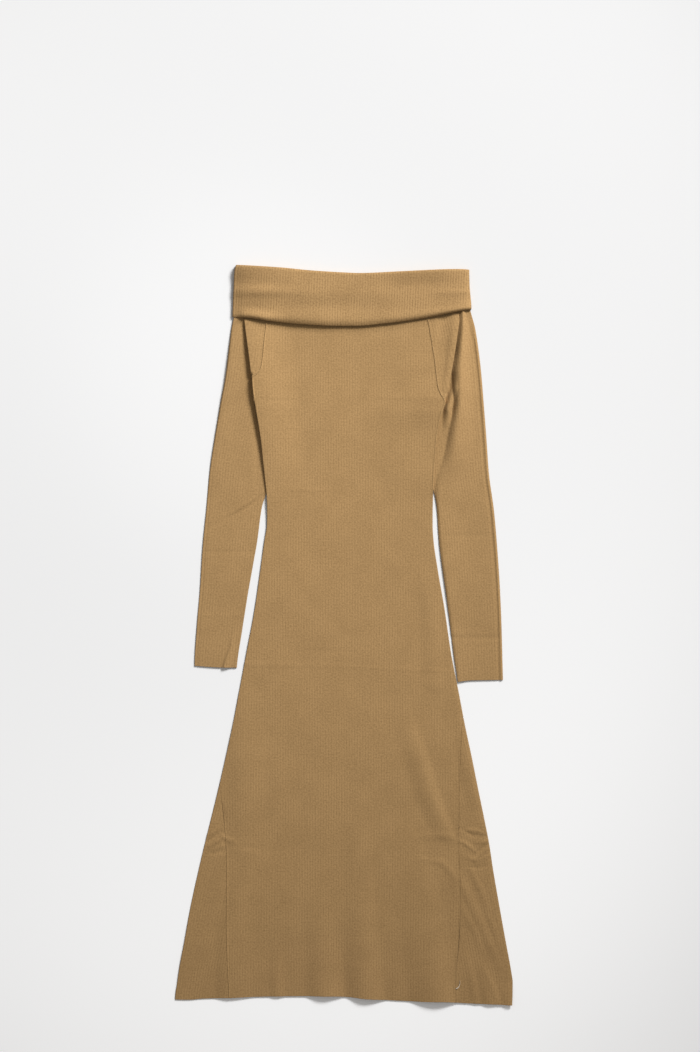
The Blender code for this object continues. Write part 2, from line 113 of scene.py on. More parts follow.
SLEEVE_OUTER = table(
    Sides, (565, 185.3, 212.2), (550, 185.8, 213.2), (537, 186.2, 216.6), (520, 189.6, 221.2),
    (484, 194.4, 227), (439, 199.8, 232.2), (397, 207.6, 235.6), (333, 218.2, 240.6),
    (273, 227, 244.9), (210, 232.6, 253.4), (150, 238.4, 258.7), (79, 243.1, 263.4),
    (18, 248.1, 266), (-55, 252.3, 268), (-77, 252.3, 268.6),
)
SLEEVE_INNER = table(
    Sides, (393, 151.6, 170.2), (379, 147, 162.5), (365, 141, 156.6), (347, 132.5, 151.6),
    (296, 126.5, 145.5), (262, 126, 145.5), (245, 129.5, 150.6), (236, 132.4, 153.4),
    (214, 138.8, 156.6), (161, 146, 160), (114, 154.2, 165.8), (69, 162.2, 172.2),
    (12, 171.2, 179.4), (-43, 179.6, 186.4), (-55, 180.6, 188.6), (-80, 180.6, 192.1),
)
# edge of the fold where the top of a sleeve lies over the rest of it
LIP = table(
    Sides, (550, 167.8, 196), (534, 166.6, 193.4), (511, 164, 190.4), (499, 162.4, 188.7),
    (471, 158.6, 184.4), (452, 156.4, 181), (440, 154.9, 178.6), (434, 153.6, 177.2),
    (424, 151.4, 175.2), (412, 150.2, 173.2), (397, 149.5, 169.6), (379, 147, 165),
)
# lift of the back layer at the side edges, over the sleeves under them
BACK_LIFT = table(
    Sides, (552, 0, 0), (540, 1.4, 0.3), (528, 2.2, 0.5), (470, 2.7, 1.5), (430, 2.8, 2.6),
    (397, 2.8, 2.8), (275, 2.8, 2.8), (262, 2.7, 2.7), (250, 2.5, 2.5), (244, 2.3, 2.2),
    (236, 2, 1.4), (222, 1.6, 0.6), (200, 1.1, 0.3), (160, 0.4, 0), (120, 0, 0),
)
# the same for the front layer
FRONT_LIFT = table(
    Sides, (550, 0, 0), (544, 0.6, 0.5), (537, 2.2, 1.5), (526, 5, 2.6), (508, 6.8, 3),
    (485, 8.6, 3.4), (440, 9.6, 4.6), (425, 9.7, 5.6), (412, 9.7, 6.6), (397, 9.5, 7.8),
    (380, 9, 7.8), (363, 8.2, 6.2), (347, 7.4, 4.6), (330, 6.4, 3.8), (311, 5.4, 3.4),
    (288, 4.4, 3.1), (264, 3.4, 2.9), (244, 2.7, 2.5), (225, 2.1, 1.9), (190, 1.3, 1.2),
    (150, 0.6, 0.6), (105, 0.15, 0.15), (75, 0, 0),
)
Roll = namedtuple("Roll", "y foot crest end height")
# a sleeve's long roll: rises steeply from foot to crest, fades to its end
SLEEVE_ROLL = {
    "left": table(
        Roll, (548, 186.2, 183.6, 167, 0.5), (525, 189.3, 186.4, 165, 1.6),
        (499, 192.2, 189.2, 162, 2.4), (431, 201, 198, 155, 2.8), (397, 207.4, 204.4, 151, 2.8),
        (363, 213, 210, 146, 2.4), (330, 218.5, 215.3, 141, 1.9), (290, 225, 221.6, 136, 1.2),
        (240, 230, 226.6, 132, 0.6), (190, 234.5, 231, 140, 0.3), (140, 239, 235, 150, 0),
    ),
    "right": table(
        Roll, (550, 196.5, 201, 210, 3.6), (524, 193.8, 201, 213, 7.4),
        (482, 188.8, 198, 220, 9.6), (441, 182.5, 195.5, 225, 10.4), (397, 185, 195.5, 229, 9.6),
        (347, 177, 189.5, 231, 7.8), (296, 167, 183, 235, 4.8), (268, 157, 171, 236, 3),
        (245, 153.5, 161, 234, 2.3), (214, 157, 162, 228, 1.9), (161, 160.4, 165.5, 222, 1.8),
        (69, 172.6, 177.5, 218, 1.6), (12, 179.8, 184.5, 218, 1.4), (-60, 189, 193.5, 220, 0.9),
    ),
}
COLLAR_SIDE = table(
    Sides, (625, 182.3, 211.5), (614, 185.2, 211.7), (590, 186.4, 212.3), (550, 188, 215.4),
    (537, 188.4, 215.4),
)

Across = namedtuple("Across", "x y")

COLLAR_TOP = table(
    Across, (-182, 625), (-105, 620), (-57, 615.4), (2, 611.8), (26, 610.9), (94, 613.7),
    (197, 617.7), (212, 617),
)
COLLAR_FREE = table(
    Across, (-188, 537.2), (-160, 535.4), (-130, 530.4), (-94, 526.6), (-57, 523.7), (-20, 522),
    (18, 521.8), (71, 526.1), (129, 533.8), (174, 542.6), (197, 547.2), (216, 550.4),
)
HEM = table(
    Across, (-285, -614.6), (-262, -615), (-240, -613.2), (-194, -611.8), (-137, -609.6),
    (-110, -609.2), (-72, -608.8), (-30, -608.6), (10, -610.4), (37, -613), (95, -616.6),
    (137, -617.9), (162, -617.8), (196, -620.2), (214, -621.2), (256, -622.8), (284, -624.4),
)
CUFF = {
    "left": table(Across, (-252, -51.5), (-206, -54.3), (-181, -54.5)),
    "right": table(Across, (192, -78.6), (214, -76), (269, -75.2)),
}
GORE_SEAM = {
    "left": table(
        Across, (-254, 211.4), (-268, 207.8), (-318, 202), (-376, 198.3), (-489, 198.6),
        (-626, 193.6),
    ),
    "right": table(
        Across, (-138, 201.7), (-160, 198.6), (-260, 194.6), (-361, 193.6), (-427, 196.6),
        (-501, 195.2), (-593, 188), (-626, 189.2),
    ),
}

Curl = namedtuple("Curl", "above share")
# roll of the turned-down collar layer, by distance above its free edge
COLLAR_CURL = table(
    Curl, (0, 0.5), (1.2, 0.6), (3, 0.73), (6, 0.88), (9, 0.97), (13, 1), (30, 0.93), (88, 0.9),
)
# full height of that roll
COLLAR_LIFT = table(
    Across, (-190, 1.6), (-180, 2.6), (-168, 5), (-150, 6.6), (-125, 7.6), (-91, 7.8), (-40, 7),
    (0, 6.2), (50, 6.2), (95, 7), (150, 7.2), (190, 6.4), (216, 4.2),
)
# rise of the free edge at both ends
COLLAR_FLARE = table(
    Across, (-190, 0), (-180, 0.2), (-168, 2.4), (-140, 3.6), (-116, 1.6), (-92, 0), (120, 0),
    (150, 0.6), (185, 1.6), (214, 2),
)
COLLAR_FLARE_REACH = 20 * MM
# stretch of the roll's reach up the collar
COLLAR_REACH = table(
    Across, (-190, 0.4), (-150, 0.5), (-110, 0.8), (-60, 1), (40, 0.9), (95, 0.7), (150, 0.5),
    (216, 0.35),
)
COLLAR_STEP_Y = 566 * MM  # middle of a soft step down across the collar
COLLAR_STEP_REACH = 30 * MM
# its height
COLLAR_STEP = table(
    Across, (-190, 0.6), (-160, 1.9), (-100, 2.8), (45, 2.3), (95, 0.8), (140, 0.2), (216, 0.2),
)

# A soft fold follows its points in order. Width is half the fold's width at the point, and
# height its rise there, or its depth when below zero. Back is the share of the height
# that the layer underneath takes, and east stretches the width on the side towards +X.
Fold = namedtuple("Fold", "back points east")
Point = namedtuple("Point", "x y width height")


def fold(back, *points, east=1.0):
    return Fold(back, table(Point, *points), east)


HEM_BACK = 0.55  # what the back layer takes of the folds along the hem
HEM_FOLDS = [
    fold(
        HEM_BACK, (-194, -620, 26, 2.6), (-193, -510, 26, 2.2), (-180, -450, 24, 1.6),
        (-150, -398, 22, 0.4), east=1.8,
    ),
    fold(HEM_BACK, (-112, -616, 15, 1.8), (-114, -545, 14, 0.6), (-116, -500, 14, 0)),
    fold(
        HEM_BACK, (-30, -616, 36, 6.2), (-34, -565, 35, 2.6), (-40, -497, 32, 1.1),
        (-44, -430, 30, 0),
    ),
    fold(
        HEM_BACK, (38, -617, 38, 7), (32, -548, 36, 3), (28, -480, 32, 1.9), (24, -362, 28, 0.9),
        (24, -310, 26, 0),
    ),
    fold(
        HEM_BACK, (160, -621, 54, 7.6), (152, -556, 56, 3.8), (142, -472, 54, 2.4),
        (128, -400, 44, 1.2), (112, -340, 36, 0.4), east=0.66,
    ),
    fold(HEM_BACK, (248, -624, 20, 2.6), (240, -580, 18, 1), (232, -545, 16, 0)),
    fold(0.8, (284, -632, 24, 4.4), (279, -585, 24, 0)),
]
FOLD_BACK = 0.4  # and of the other raised folds; it takes none of the creases
BODY_FOLDS = [
    # press lines across the body
    fold(FOLD_BACK, (-122, 246, 3.4, 0.1), (-60, 245, 3.4, 0.4), (0, 246, 3.4, 0.1)),
    fold(
        FOLD_BACK, (-167, -49, 3.4, 0.6), (-78, -50, 3.4, 0.5), (-60, -50, 3.4, 0.3),
        (174, -60, 4, 0.3),
    ),
    fold(0, (-83, -27, 4, -0.1), (-30, -27, 4, -0.4), (19, -28, 4, -0.1)),
    fold(0, (164, 55, 4, -0.6), (145, 34, 5, 0)),
    fold(FOLD_BACK, (146, 110, 24, 0), (146, 50, 24, 1.2), (152, -80, 22, 1)),
]
SKIRT_FOLDS = [
    # long soft folds above the knee
    fold(
        FOLD_BACK, (98, -120, 26, 0), (112, -160, 28, 1.2), (127, -205, 30, 2.3),
        (145, -268, 30, 2.7), (168, -322, 26, 2), (182, -346, 18, 0.5), east=0.62,
    ),
    fold(FOLD_BACK, (198, -150, 18, 0.4), (211, -227, 20, 1.7), (221, -280, 18, 0.6)),
    fold(
        FOLD_BACK, (-172, -118, 34, 0.5), (-168, -211, 36, 2.2), (-173, -295, 34, 2.4),
        (-176, -352, 28, 0.4), east=1.3,
    ),
    # slanting folds of the right side, below the knee
    fold(
        FOLD_BACK, (182, -388, 11, 0.3), (213, -447, 12, 0.9), (243, -514, 12, 1),
        (264, -560, 10, 0.2),
    ),
    fold(FOLD_BACK, (213, -393, 8, 0.4), (228, -424, 9, 0.9), (244, -460, 8, 0.2)),
    fold(FOLD_BACK, (201, -462, 8, 0.3), (222, -500, 9, 0.8), (232, -532, 8, 0.2)),
    fold(FOLD_BACK, (236, -452, 7, 0.2), (252, -492, 8, 0.7), (262, -530, 7, 0.2)),
    fold(FOLD_BACK, (206, -540, 8, 0.3), (216, -580, 10, 0.9), (224, -622, 10, 0.8)),
    fold(FOLD_BACK, (236, -560, 6, 0.2), (252, -596, 8, 0.8), (262, -622, 8, 0.7)),
    fold(
        FOLD_BACK, (122, -377, 7, 0.2), (166, -383, 8, 0.8), (184, -404, 8, 0.8),
        (191, -446, 7, 0.2),
    ),
    # knee wrinkles
    fold(FOLD_BACK, (-207, -338, 5, 0.5), (-194, -345, 6, 1), (-178, -351, 5, 0.2)),
    fold(0, (-208, -331, 3.4, -0.6), (-218, -339, 3.6, -0.95), (-231, -348, 3.4, -0.9)),
    fold(FOLD_BACK, (-204, -340, 4, 0.5), (-214, -347, 5, 1.2), (-228, -357, 4, 0.6)),
    fold(FOLD_BACK, (-212, -324, 4, 0.4), (-222, -332, 4.4, 0.9), (-233, -340, 4, 0.5)),
    fold(0, (-224, -368, 5, -0.5), (-204, -364, 6, -0.7), (-190, -352, 4, -0.3)),
    fold(0, (-206, -283, 4.4, -0.2), (-202, -302, 5, -0.45), (-200, -318, 4.4, -0.3)),
    fold(FOLD_BACK, (-206, -354, 5, 0.6), (-220, -364, 4, 0.2)),
    fold(0, (-176, -358, 4, -0.3), (-158, -358, 4, -0.6), (-140, -359, 4, -0.1)),
    fold(FOLD_BACK, (120, -340, 10, 0.2), (166, -338, 10, 0.9), (184, -342, 8, 0.5)),
    fold(FOLD_BACK, (196, -330, 5, 0.3), (222, -329, 5, 1), (238, -334, 4, 0.2)),
    fold(FOLD_BACK, (193, -346, 4, 0.4), (206, -352, 4.6, 1.2), (224, -366, 4, 0.4)),
    fold(FOLD_BACK, (222, -350, 4, 0.4), (240, -348, 4.6, 1.1), (250, -342, 4, 0.6)),
    fold(
        0, (194, -326, 3.4, -0.5), (206, -331, 3.6, -0.95), (218, -338, 3.6, -0.9),
        (240, -339, 3.4, -0.5),
    ),
    fold(0, (239, -354, 3.4, -0.6), (227, -364, 3.6, -0.95), (216, -373, 3.4, -0.7)),
    fold(FOLD_BACK, (243, -359, 4, 0.4), (231, -369, 4.4, 1.2), (219, -379, 4, 0.6)),
    fold(
        FOLD_BACK, (200, -372, 4, 0.1), (224, -380, 6, 0.8), (240, -374, 5, 0.6),
        (250, -370, 4, 0.3),
    ),
    fold(0, (210, -391, 3.6, -0.5), (226, -392, 4, -0.9), (242, -389, 3.6, -0.5)),
]
COLLAR_FOLDS = [
    # ridges above the step
    fold(
        0, (-186, 580, 12, 0.9), (-150, 580, 12, 1.8), (-116, 580, 12, 1.3), (-60, 580, 12, 0.1),
    ),
    fold(0, (150, 577, 8, 0.4), (180, 578, 8, 0.7), (206, 579, 8, 0.5)),
    # fullness along the top
    fold(0, (-186, 622, 26, 2.2), (-140, 619, 26, 2.2), (-96, 612, 24, 0.4)),
    fold(0, (56, 610, 26, 0.6), (112, 616, 28, 3), (170, 617, 26, 2.6), (200, 617, 24, 1)),
]
SLEEVE_FOLDS = {
    "left": [
        # crease inside the elbow
        fold(
            0, (-136, 237, 3.6, -0.9), (-149, 226, 3.6, -0.95), (-170, 213, 3.6, -0.9),
            (-191, 200, 3.6, -0.6), (-235, 178, 4, -0.3),
        ),
        # lifted fold at the cuff
        fold(
            0, (-187, 3, 2.8, 0.2), (-191.5, -20, 3, 1.3), (-202, -51, 3.2, 2.5),
            (-204, -62, 3.2, 2.8), east=4.4,
        ),
        fold(0, (-150, 232, 5, 0.3), (-168, 220, 6, 0.9), (-190, 206, 6, 0.4)),
        fold(0, (-236, 141, 3, -0.5), (-156, 141, 3, -0.4)),
        fold(0, (-240, 34, 4, 0.25), (-170, 34, 4, 0.25)),
    ],
    "right": [
        # ridge along the lip, and the hollow between it and the raglan seam
        fold(0, (188, 540, 11, 1.6), (184, 500, 11, 2.4), (172, 415, 9, 1.2)),
        fold(0, (168, 545, 12, -1.2), (161, 468, 10, -0.3)),
        # pucker below the armpit
        fold(
            0, (187, 430, 6, 0.6), (185.5, 416, 8, 3.4), (180.8, 398, 8, 5.4),
            (176, 381, 8.6, 6.6), (174.4, 366, 9, 3.4), (173.4, 350, 9, 1), (172, 332, 8, 0.1),
        ),
        fold(0, (160, 168, 3, -0.5), (252, 168, 3, -0.45)),
        fold(0, (176, 4, 3, 0.35), (262, 4, 3, 0.35)),
        fold(0, (176, -4, 3, -0.5), (262, -4, 3, -0.5)),
    ],
}

# Slow unevenness of cloth that lies loosely: wave lengths in millimetres, phase in
# turns, height in millimetres.
Swell = namedtuple("Swell", "across along phase height")
SWELLS = table(
    Swell, (310, 170, 0.15, 0.22), (-260, 230, 0.62, 0.2), (130, -280, 0.34, 0.12),
    (-105, -190, 0.81, 0.07), (170, 88, 0.48, 0.05),
)

KNIT_COLOUR = (0.347, 0.213, 0.093, 1.0)
KNIT_SHADE = (0.202, 0.120, 0.048, 1.0)


# ---------------------------------------------------------------- small mathematics
def ease(value):
    """Smooth change from 0 to 1 while value goes from 0 to 1."""
    value = np.clip(value, 0.0, 1.0)
    return value * value * (3 - 2 * value)


def mix(a, b, share):
    return a + (b - a) * share


def curve(rows, key, value):
    """Smooth curve through a table, without overshoot and level beyond its ends."""
    points = sorted((getattr(row, key) * MM, getattr(row, value) * MM) for row in rows)
    places = np.array([place for place, _ in points])
    values = np.array([amount for _, amount in points])
    steps = np.diff(places)
    rates = np.diff(values) / steps
    before, after = rates[:-1], rates[1:]
    same_way = before * after > 0
    total = np.where(same_way, before + after, 1.0)
    inner = np.where(same_way, 2 * before * after / total, 0.0)
    slopes = np.concatenate((rates[:1], inner, rates[-1:]))

    def at(place):
        place = np.clip(place, places[0], places[-1])
        index = np.clip(np.searchsorted(places, place, side="right") - 1, 0, len(steps) - 1)
        step = steps[index]
        share = (place - places[index]) / step
        rest = 1 - share
        return (
            values[index] * rest * rest * (1 + 2 * share)
            + values[index + 1] * share * share * (3 - 2 * share)
            + slopes[index] * step * share * rest * rest
            - slopes[index + 1] * step * share * share * rest
        )

    return at


def both_sides(rows):
    return {side: curve(rows, "y", side) for side in ("left", "right")}


body_side = both_sides(BODY)
raglan_side = both_sides(RAGLAN)
sleeve_outer = both_sides(SLEEVE_OUTER)
sleeve_inner = both_sides(SLEEVE_INNER)
lip_line = both_sides(LIP)
back_lift = both_sides(BACK_LIFT)
front_lift = both_sides(FRONT_LIFT)
collar_side = both_sides(COLLAR_SIDE)
collar_top = curve(COLLAR_TOP, "x", "y")
collar_free = curve(COLLAR_FREE, "x", "y")
hem_line = curve(HEM, "x", "y")
cuff_line = {side: curve(rows, "x", "y") for side, rows in CUFF.items()}
gore_seam = {side: curve(rows, "x", "y") for side, rows in GORE_SEAM.items()}
collar_curl = curve(COLLAR_CURL, "above", "share")
collar_lift = curve(COLLAR_LIFT, "x", "y")
collar_flare = curve(COLLAR_FLARE, "x", "y")
collar_reach = curve(COLLAR_REACH, "x", "y")
collar_step = curve(COLLAR_STEP, "x", "y")
sleeve_roll = {
    side: [curve(rows, "y", column) for column in ("foot", "crest", "end", "height")]
    for side, rows in SLEEVE_ROLL.items()
}

SIGN = {"left": -1, "right": 1}
SETTLE_ROUNDS = 4


# ---------------------------------------------------------------- heights
def raised(x, y, front_share, inside=1.0):
    """Height of what lies under a place of body or sleeve.

    inside is 1 over the body and the top of a sleeve, and 0 past a sleeve's lip.
    """
    height = LAYER * ease((y - collar_free(x)) / COLLAR_RAMP + COLLAR_RAMP_LEAD)
    for side, sign in SIGN.items():
        edge = np.where(y > ARMPIT_Y, lip_line[side](y), body_side[side](y))
        inwards = 1 - ease((edge - sign * x) / SIDE_FADE[side])
        lift = mix(back_lift[side](y), front_lift[side](y), front_share)
        height = height + lift * inwards * inside
    return height


def pressed(side, distance):
    """Share of the height that is left near a pressed side fold."""
    return 1 - PRESS[side] * (1 - ease(distance / PRESS_REACH[side]))


def fold_height(fold, x, y):
    """Rise of one soft fold at a place, from the part of it that is nearest."""
    nearest = np.full(np.shape(x), np.inf)
    rise = np.zeros(np.shape(x))
    for start, end in zip(fold.points, fold.points[1:]):
        run_x = (end.x - start.x) * MM
        run_y = (end.y - start.y) * MM
        from_x = x - start.x * MM
        from_y = y - start.y * MM
        along = (from_x * run_x + from_y * run_y) / (run_x * run_x + run_y * run_y)
        along = np.clip(along, 0.0, 1.0)
        off_x = from_x - along * run_x
        off = np.hypot(off_x, from_y - along * run_y)
        off = off / (mix(start.width, end.width, along) * MM)
        off = off / np.where(off_x > 0, fold.east, 1.0)
        crest = mix(start.height, end.height, along) * MM
        here = crest * (1 - np.minimum(off, 1.0) ** 2) ** 2
        rise = np.where(off < nearest, here, rise)
        nearest = np.minimum(nearest, off)
    return rise


def folds_height(folds, x, y, front_share):
    """All soft folds at a place, for a layer between back (0) and front (1)."""
    total = np.zeros(np.shape(x))
    for fold in folds:
        total = total + fold_height(fold, x, y) * mix(fold.back, 1.0, front_share)
    return total


LEFT_ROLL_FALL = 0.5  # share of the left sleeve's roll that is lost on its way to the lip
RIGHT_ROLL_KNEE = 0.1  # share of its slope over which the right roll's top stays level


def roll_height(side, x, y):
    """Rise of a sleeve's long roll at a place."""
    foot, crest, end, height = [part(y) for part in sleeve_roll[side]]
    out = SIGN[side] * x
    rising = np.clip((out - foot) / (crest - foot), 0, 1)
    fading = np.clip((out - crest) / (end - crest), 0, 1)
    rise = height * (1 - (1 - rising) ** 2)
    if side == "left":  # slopes down from the outer fold and plunges beside the lip
        near = 1 - np.clip((out - lip_line[side](y)) / PLUNGE, 0, 1)
        return rise * (1 - LEFT_ROLL_FALL * fading) * (1 - near * near)
    fading = fading * fading * (1 + RIGHT_ROLL_KNEE) / (fading + RIGHT_ROLL_KNEE)
    return rise * (1 - fading) ** 2


def swell_height(x, y):
    """Slow unevenness of the cloth."""
    total = np.zeros(np.shape(x))
    for swell in SWELLS:
        turns = x / (swell.across * MM) + y / (swell.along * MM) + swell.phase
        total = total + swell.height * MM * np.sin(2 * math.pi * turns)
    return total


# ---------------------------------------------------------------- the flattened tube
def on_tube(arc, width):
    """Follow the cloth from one side edge over the front of a flattened tube.

    Returns the distance from that edge and the height over the tube's middle.
    """
    flat = width - 2 * FOLD
    first_turn = arc / FOLD
    last_turn = (arc - QUARTER - flat) / FOLD
    distance = np.where(
        arc < QUARTER,
        FOLD * (1 - np.cos(first_turn)),
        np.where(
            arc <= QUARTER + flat,
            FOLD + arc - QUARTER,
            width - FOLD * (1 - np.sin(last_turn)),
        ),
    )
    up = np.where(
        arc < QUARTER,
        FOLD * np.sin(first_turn),
        np.where(arc <= QUARTER + flat, FOLD, FOLD * np.cos(last_turn)),
    )
    return distance, up


def half_length(width):
    """Length of cloth from side edge to side edge over the front."""
    return width - 2 * FOLD + 2 * QUARTER


def arc_at(distance):
    """Length of cloth from the side edge to a place on the flat, by distance across."""
    return distance - FOLD + QUARTER


def between(stops, counts, column):
    """Place of a column among stops, counts[i] columns leading from stop i to the next."""
    place = stops[0] + 0.0 * column
    first = 0
    for start, end, count in zip(stops, stops[1:], counts):
        place = place + (end - start) * np.clip((column - first) / count, 0.0, 1.0)
        first += count
    return place


def curved_row(x, y, hem_or_cuff, end_y, blend):
    """Move a straight row up or down, to follow the neck seam and the hem or cuff."""
    neck = collar_free(x) + NECK_OVERLAP - SEAM - NECK_Y
    end = hem_or_cuff(x) - end_y
    return (
        y
        + neck * ease((y - NECK_Y) / NECK_BLEND + 1)
        + end * ease((end_y - y) / blend + 1)
    )


def settle(across, straight_y, row_y):
    """Place grid points across the cloth on their curved rows: (across result, y)."""
    y = straight_y
    for _ in range(SETTLE_ROUNDS):
        y = row_y(across(y)[0])
    return across(y), y


def rows_between(*stops):
    """Row heights from stop to stop, each stop after the first given as (y, rows)."""
    rows = [stops[0]]
    for end, count in stops[1:]:
        start = rows[-1]
        rows += [mix(start, end, step / count) for step in range(1, count + 1)]
    return np.array(rows)


# ---------------------------------------------------------------- building one shell
EDGE_ROUND = 0.6 * MM  # reach of the rounding along a cut or finished edge
EDGE_THIN = 0.35  # share of the wall that is left at the very edge
SAME_PLACE = 0.001 * MM  # points of a closed band nearer than this are one
KNIT_UV = "knit"  # map of the knit's own coordinates: across the ribs, along them


def surface_normals(points, closed):
    """Upward or outward normals of a grid of points, rows by columns by 3."""
    along = np.gradient(points, axis=0)
    if closed:
        across = (np.roll(points, -1, axis=1) - np.roll(points, 1, axis=1)) / 2
    else:
        across = np.gradient(points, axis=1)
    normals = np.cross(along, across)
    return normals / np.linalg.norm(normals, axis=2, keepdims=True)


def edge_distance(points, axis):
    """Length of cloth to the nearer end of each row (axis 1) or column (axis 0)."""
    steps = np.linalg.norm(np.diff(points, axis=axis), axis=2)
    shape = list(steps.shape)
    shape[axis] = 1
    run = np.concatenate((np.zeros(shape), np.cumsum(steps, axis=axis)), axis=axis)
    return np.minimum(run, np.take(run, [-1], axis=axis) - run)


def piece_of(bm, name):
    """Smooth-shaded piece in the scene, from a finished bmesh."""
    mesh = bpy.data.meshes.new(name)
    bm.to_mesh(mesh)
    bm.free()
    mesh.shade_smooth()
    piece = bpy.data.objects.new(name, mesh)
    bpy.context.scene.collection.objects.link(piece)
    return piece


def cloth_shell(name, points, outward, pattern, thin, closed=False):
    """Make one piece from a grid of points in the middle of its wall.

    outward is 1 or -1 for the side that the normals are on, pattern gives the knit's own
    coordinates and thin the share of the wall at each point. Returns the piece and the
    grid of its outer side.
    """
    rows, columns = points.shape[0] - 1, points.shape[1] - 1
    normals = surface_normals(points[:, :-1] if closed else points, closed) * outward
    if closed:
        normals = np.concatenate((normals, normals[:, :1]), axis=1)
    edge = edge_distance(points, 0)
    if not closed:
        edge = np.minimum(edge, edge_distance(points, 1))
    inside = np.clip(1 - edge / EDGE_ROUND, 0, 1)
    share = mix(EDGE_THIN, 1.0, np.sqrt(1 - inside**2))
    offset = normals * (share * thin * WALL / 2)[:, :, None]

    bm = bmesh.new()
    bmesh.ops.create_grid(bm, x_segments=columns, y_segments=rows, size=0.5)
    grid = bm.verts.layers.float_vector.new("grid")
    uv = bm.loops.layers.uv.new(KNIT_UV)
    for vert in bm.verts:
        column = round((vert.co.x + 0.5) * columns)
        row = round((vert.co.y + 0.5) * rows)
        vert[grid] = (column, row, 0)
    for face in bm.faces:
        for loop in face.loops:
            column, row = int(loop.vert[grid].x), int(loop.vert[grid].y)
            loop[uv].uv = pattern[row, column]
    outer = points + offset
    inner = points - offset
    for vert in bm.verts:
        vert.co = outer[int(vert[grid].y), int(vert[grid].x)]
    if closed:
        bmesh.ops.remove_doubles(bm, verts=bm.verts[:], dist=SAME_PLACE)
    wall = bmesh.ops.extrude_face_region(bm, geom=bm.faces[:])
    for vert in wall["geom"]:
        if isinstance(vert, bmesh.types.BMVert):
            vert.co = inner[int(vert[grid].y), int(vert[grid].x)]
    bmesh.ops.recalc_face_normals(bm, faces=bm.faces[:])
    bm.verts.layers.float_vector.remove(grid)
    return piece_of(bm, name), outer


def grid_of(rows, columns):
    """Straight row heights and column numbers of a grid, as two arrays."""
    return np.meshgrid(rows, np.arange(columns + 1, dtype=float), indexing="ij")


def stack(x, y, z):
    return np.stack((x, y, z), axis=2)


# ---------------------------------------------------------------- front and back
BODY_ROWS = rows_between(
    NECK_Y,
    (NECK_Y - 1 * MM, 2),
    (ARMPIT_Y, 52),
    (ARMPIT_Y - NOTCH, 4),
    (210 * MM, 58),
    (GORE_TOP_Y["right"], 96),
    (GORE_TOP_Y["right"] - TIP_DROP, 2),
    (GORE_TOP_Y["left"], 36),
    (GORE_TOP_Y["left"] - TIP_DROP, 2),
    (HEM_Y + 60 * MM, 88),
    (HEM_Y + 4 * MM, 22),
    (HEM_Y + 1 * MM, 3),
    (HEM_Y, 4),
)
EDGE_FINE = 1.7 * MM  # strip of the closest columns, along a sewn or folded edge
EDGE_STOPS = [0, EDGE_FINE, 4 * MM, 9 * MM]
EDGE_COUNTS = [5, 3, 3]
BODY_MIDDLE = 110  # columns between the edges; a few more pass 200,000 triangles


def gore_half_width(side, y):
    """Length of cloth from the fold of a gore to its seam, less half the seam gap."""
    side_middle = body_side[side](y) - WALL / 2
    return np.maximum(arc_at(side_middle - gore_seam[side](y)) - SEAM / 2, GORE_TIP)


def body_edge_arc(side, y):
    """Length of cloth between the body's side edge and the edge of its panels."""
    side_middle = body_side[side](y) - WALL / 2
    at_raglan = arc_at(side_middle - raglan_side[side](y) + SEAM / 2)
    at_gore = gore_half_width(side, y) + SEAM
    below = np.where(y > GORE_TOP_Y[side] - TIP_DROP / 2, SEAM / 2, at_gore)
    return np.where(y > ARMPIT_Y - NOTCH / 2, at_raglan, below)


def lay(x, up, y, folds, thin, inside=1.0):
    """Real height of a point of the flattened tube."""
    front_share = (up / FOLD + 1) / 2
    z = (WALL / 2 + FOLD + up) * thin + raised(x, y, front_share, inside)
    z = z + folds_height(folds, x, y, front_share)
    return z + front_share * swell_height(x, y)


SEAM_BEAD_PLACE = 0.4  # widths of the ridge between its top and the seam
RAGLAN_FADE = 12 * MM  # height above the armpit over which a raglan's ridge rises
RAGLAN_BEAD = {"left": 3.2, "right": 1.0}  # share of the ridge that the front's seams have
SIDE_BEAD = 2.0  # the same at the right side seam and above it
SIDE_BEAD_Y, SIDE_BEAD_FADE = 190 * MM, 60 * MM  # where that ridge starts, and its rise
GORE_BEAD = {"left": 1.5, "right": 0.7}
GORE_BEAD_FADE = 150 * MM


def seam_bead(distance):
    """Ridge of a sewn edge, by the distance from the seam."""
    return SEAM_BEAD * np.exp(-((distance / SEAM_BEAD_WIDTH - SEAM_BEAD_PLACE) ** 2))


def front_bead_share(x, y):
    """How strong the ridge beside the front's seams is at a place."""
    raglan = ease((y - ARMPIT_Y) / RAGLAN_FADE)
    on_left = x < 0
    share = raglan * np.where(on_left, RAGLAN_BEAD["left"], RAGLAN_BEAD["right"])
    share = share + np.where(x > 0, SIDE_BEAD * ease((y - SIDE_BEAD_Y) / SIDE_BEAD_FADE), 0.0)
    gore_top = np.where(on_left, GORE_TOP_Y["left"], GORE_TOP_Y["right"])
    at_gore = ease((gore_top - y) / GORE_BEAD_FADE)
    return share + at_gore * np.where(on_left, GORE_BEAD["left"], GORE_BEAD["right"])


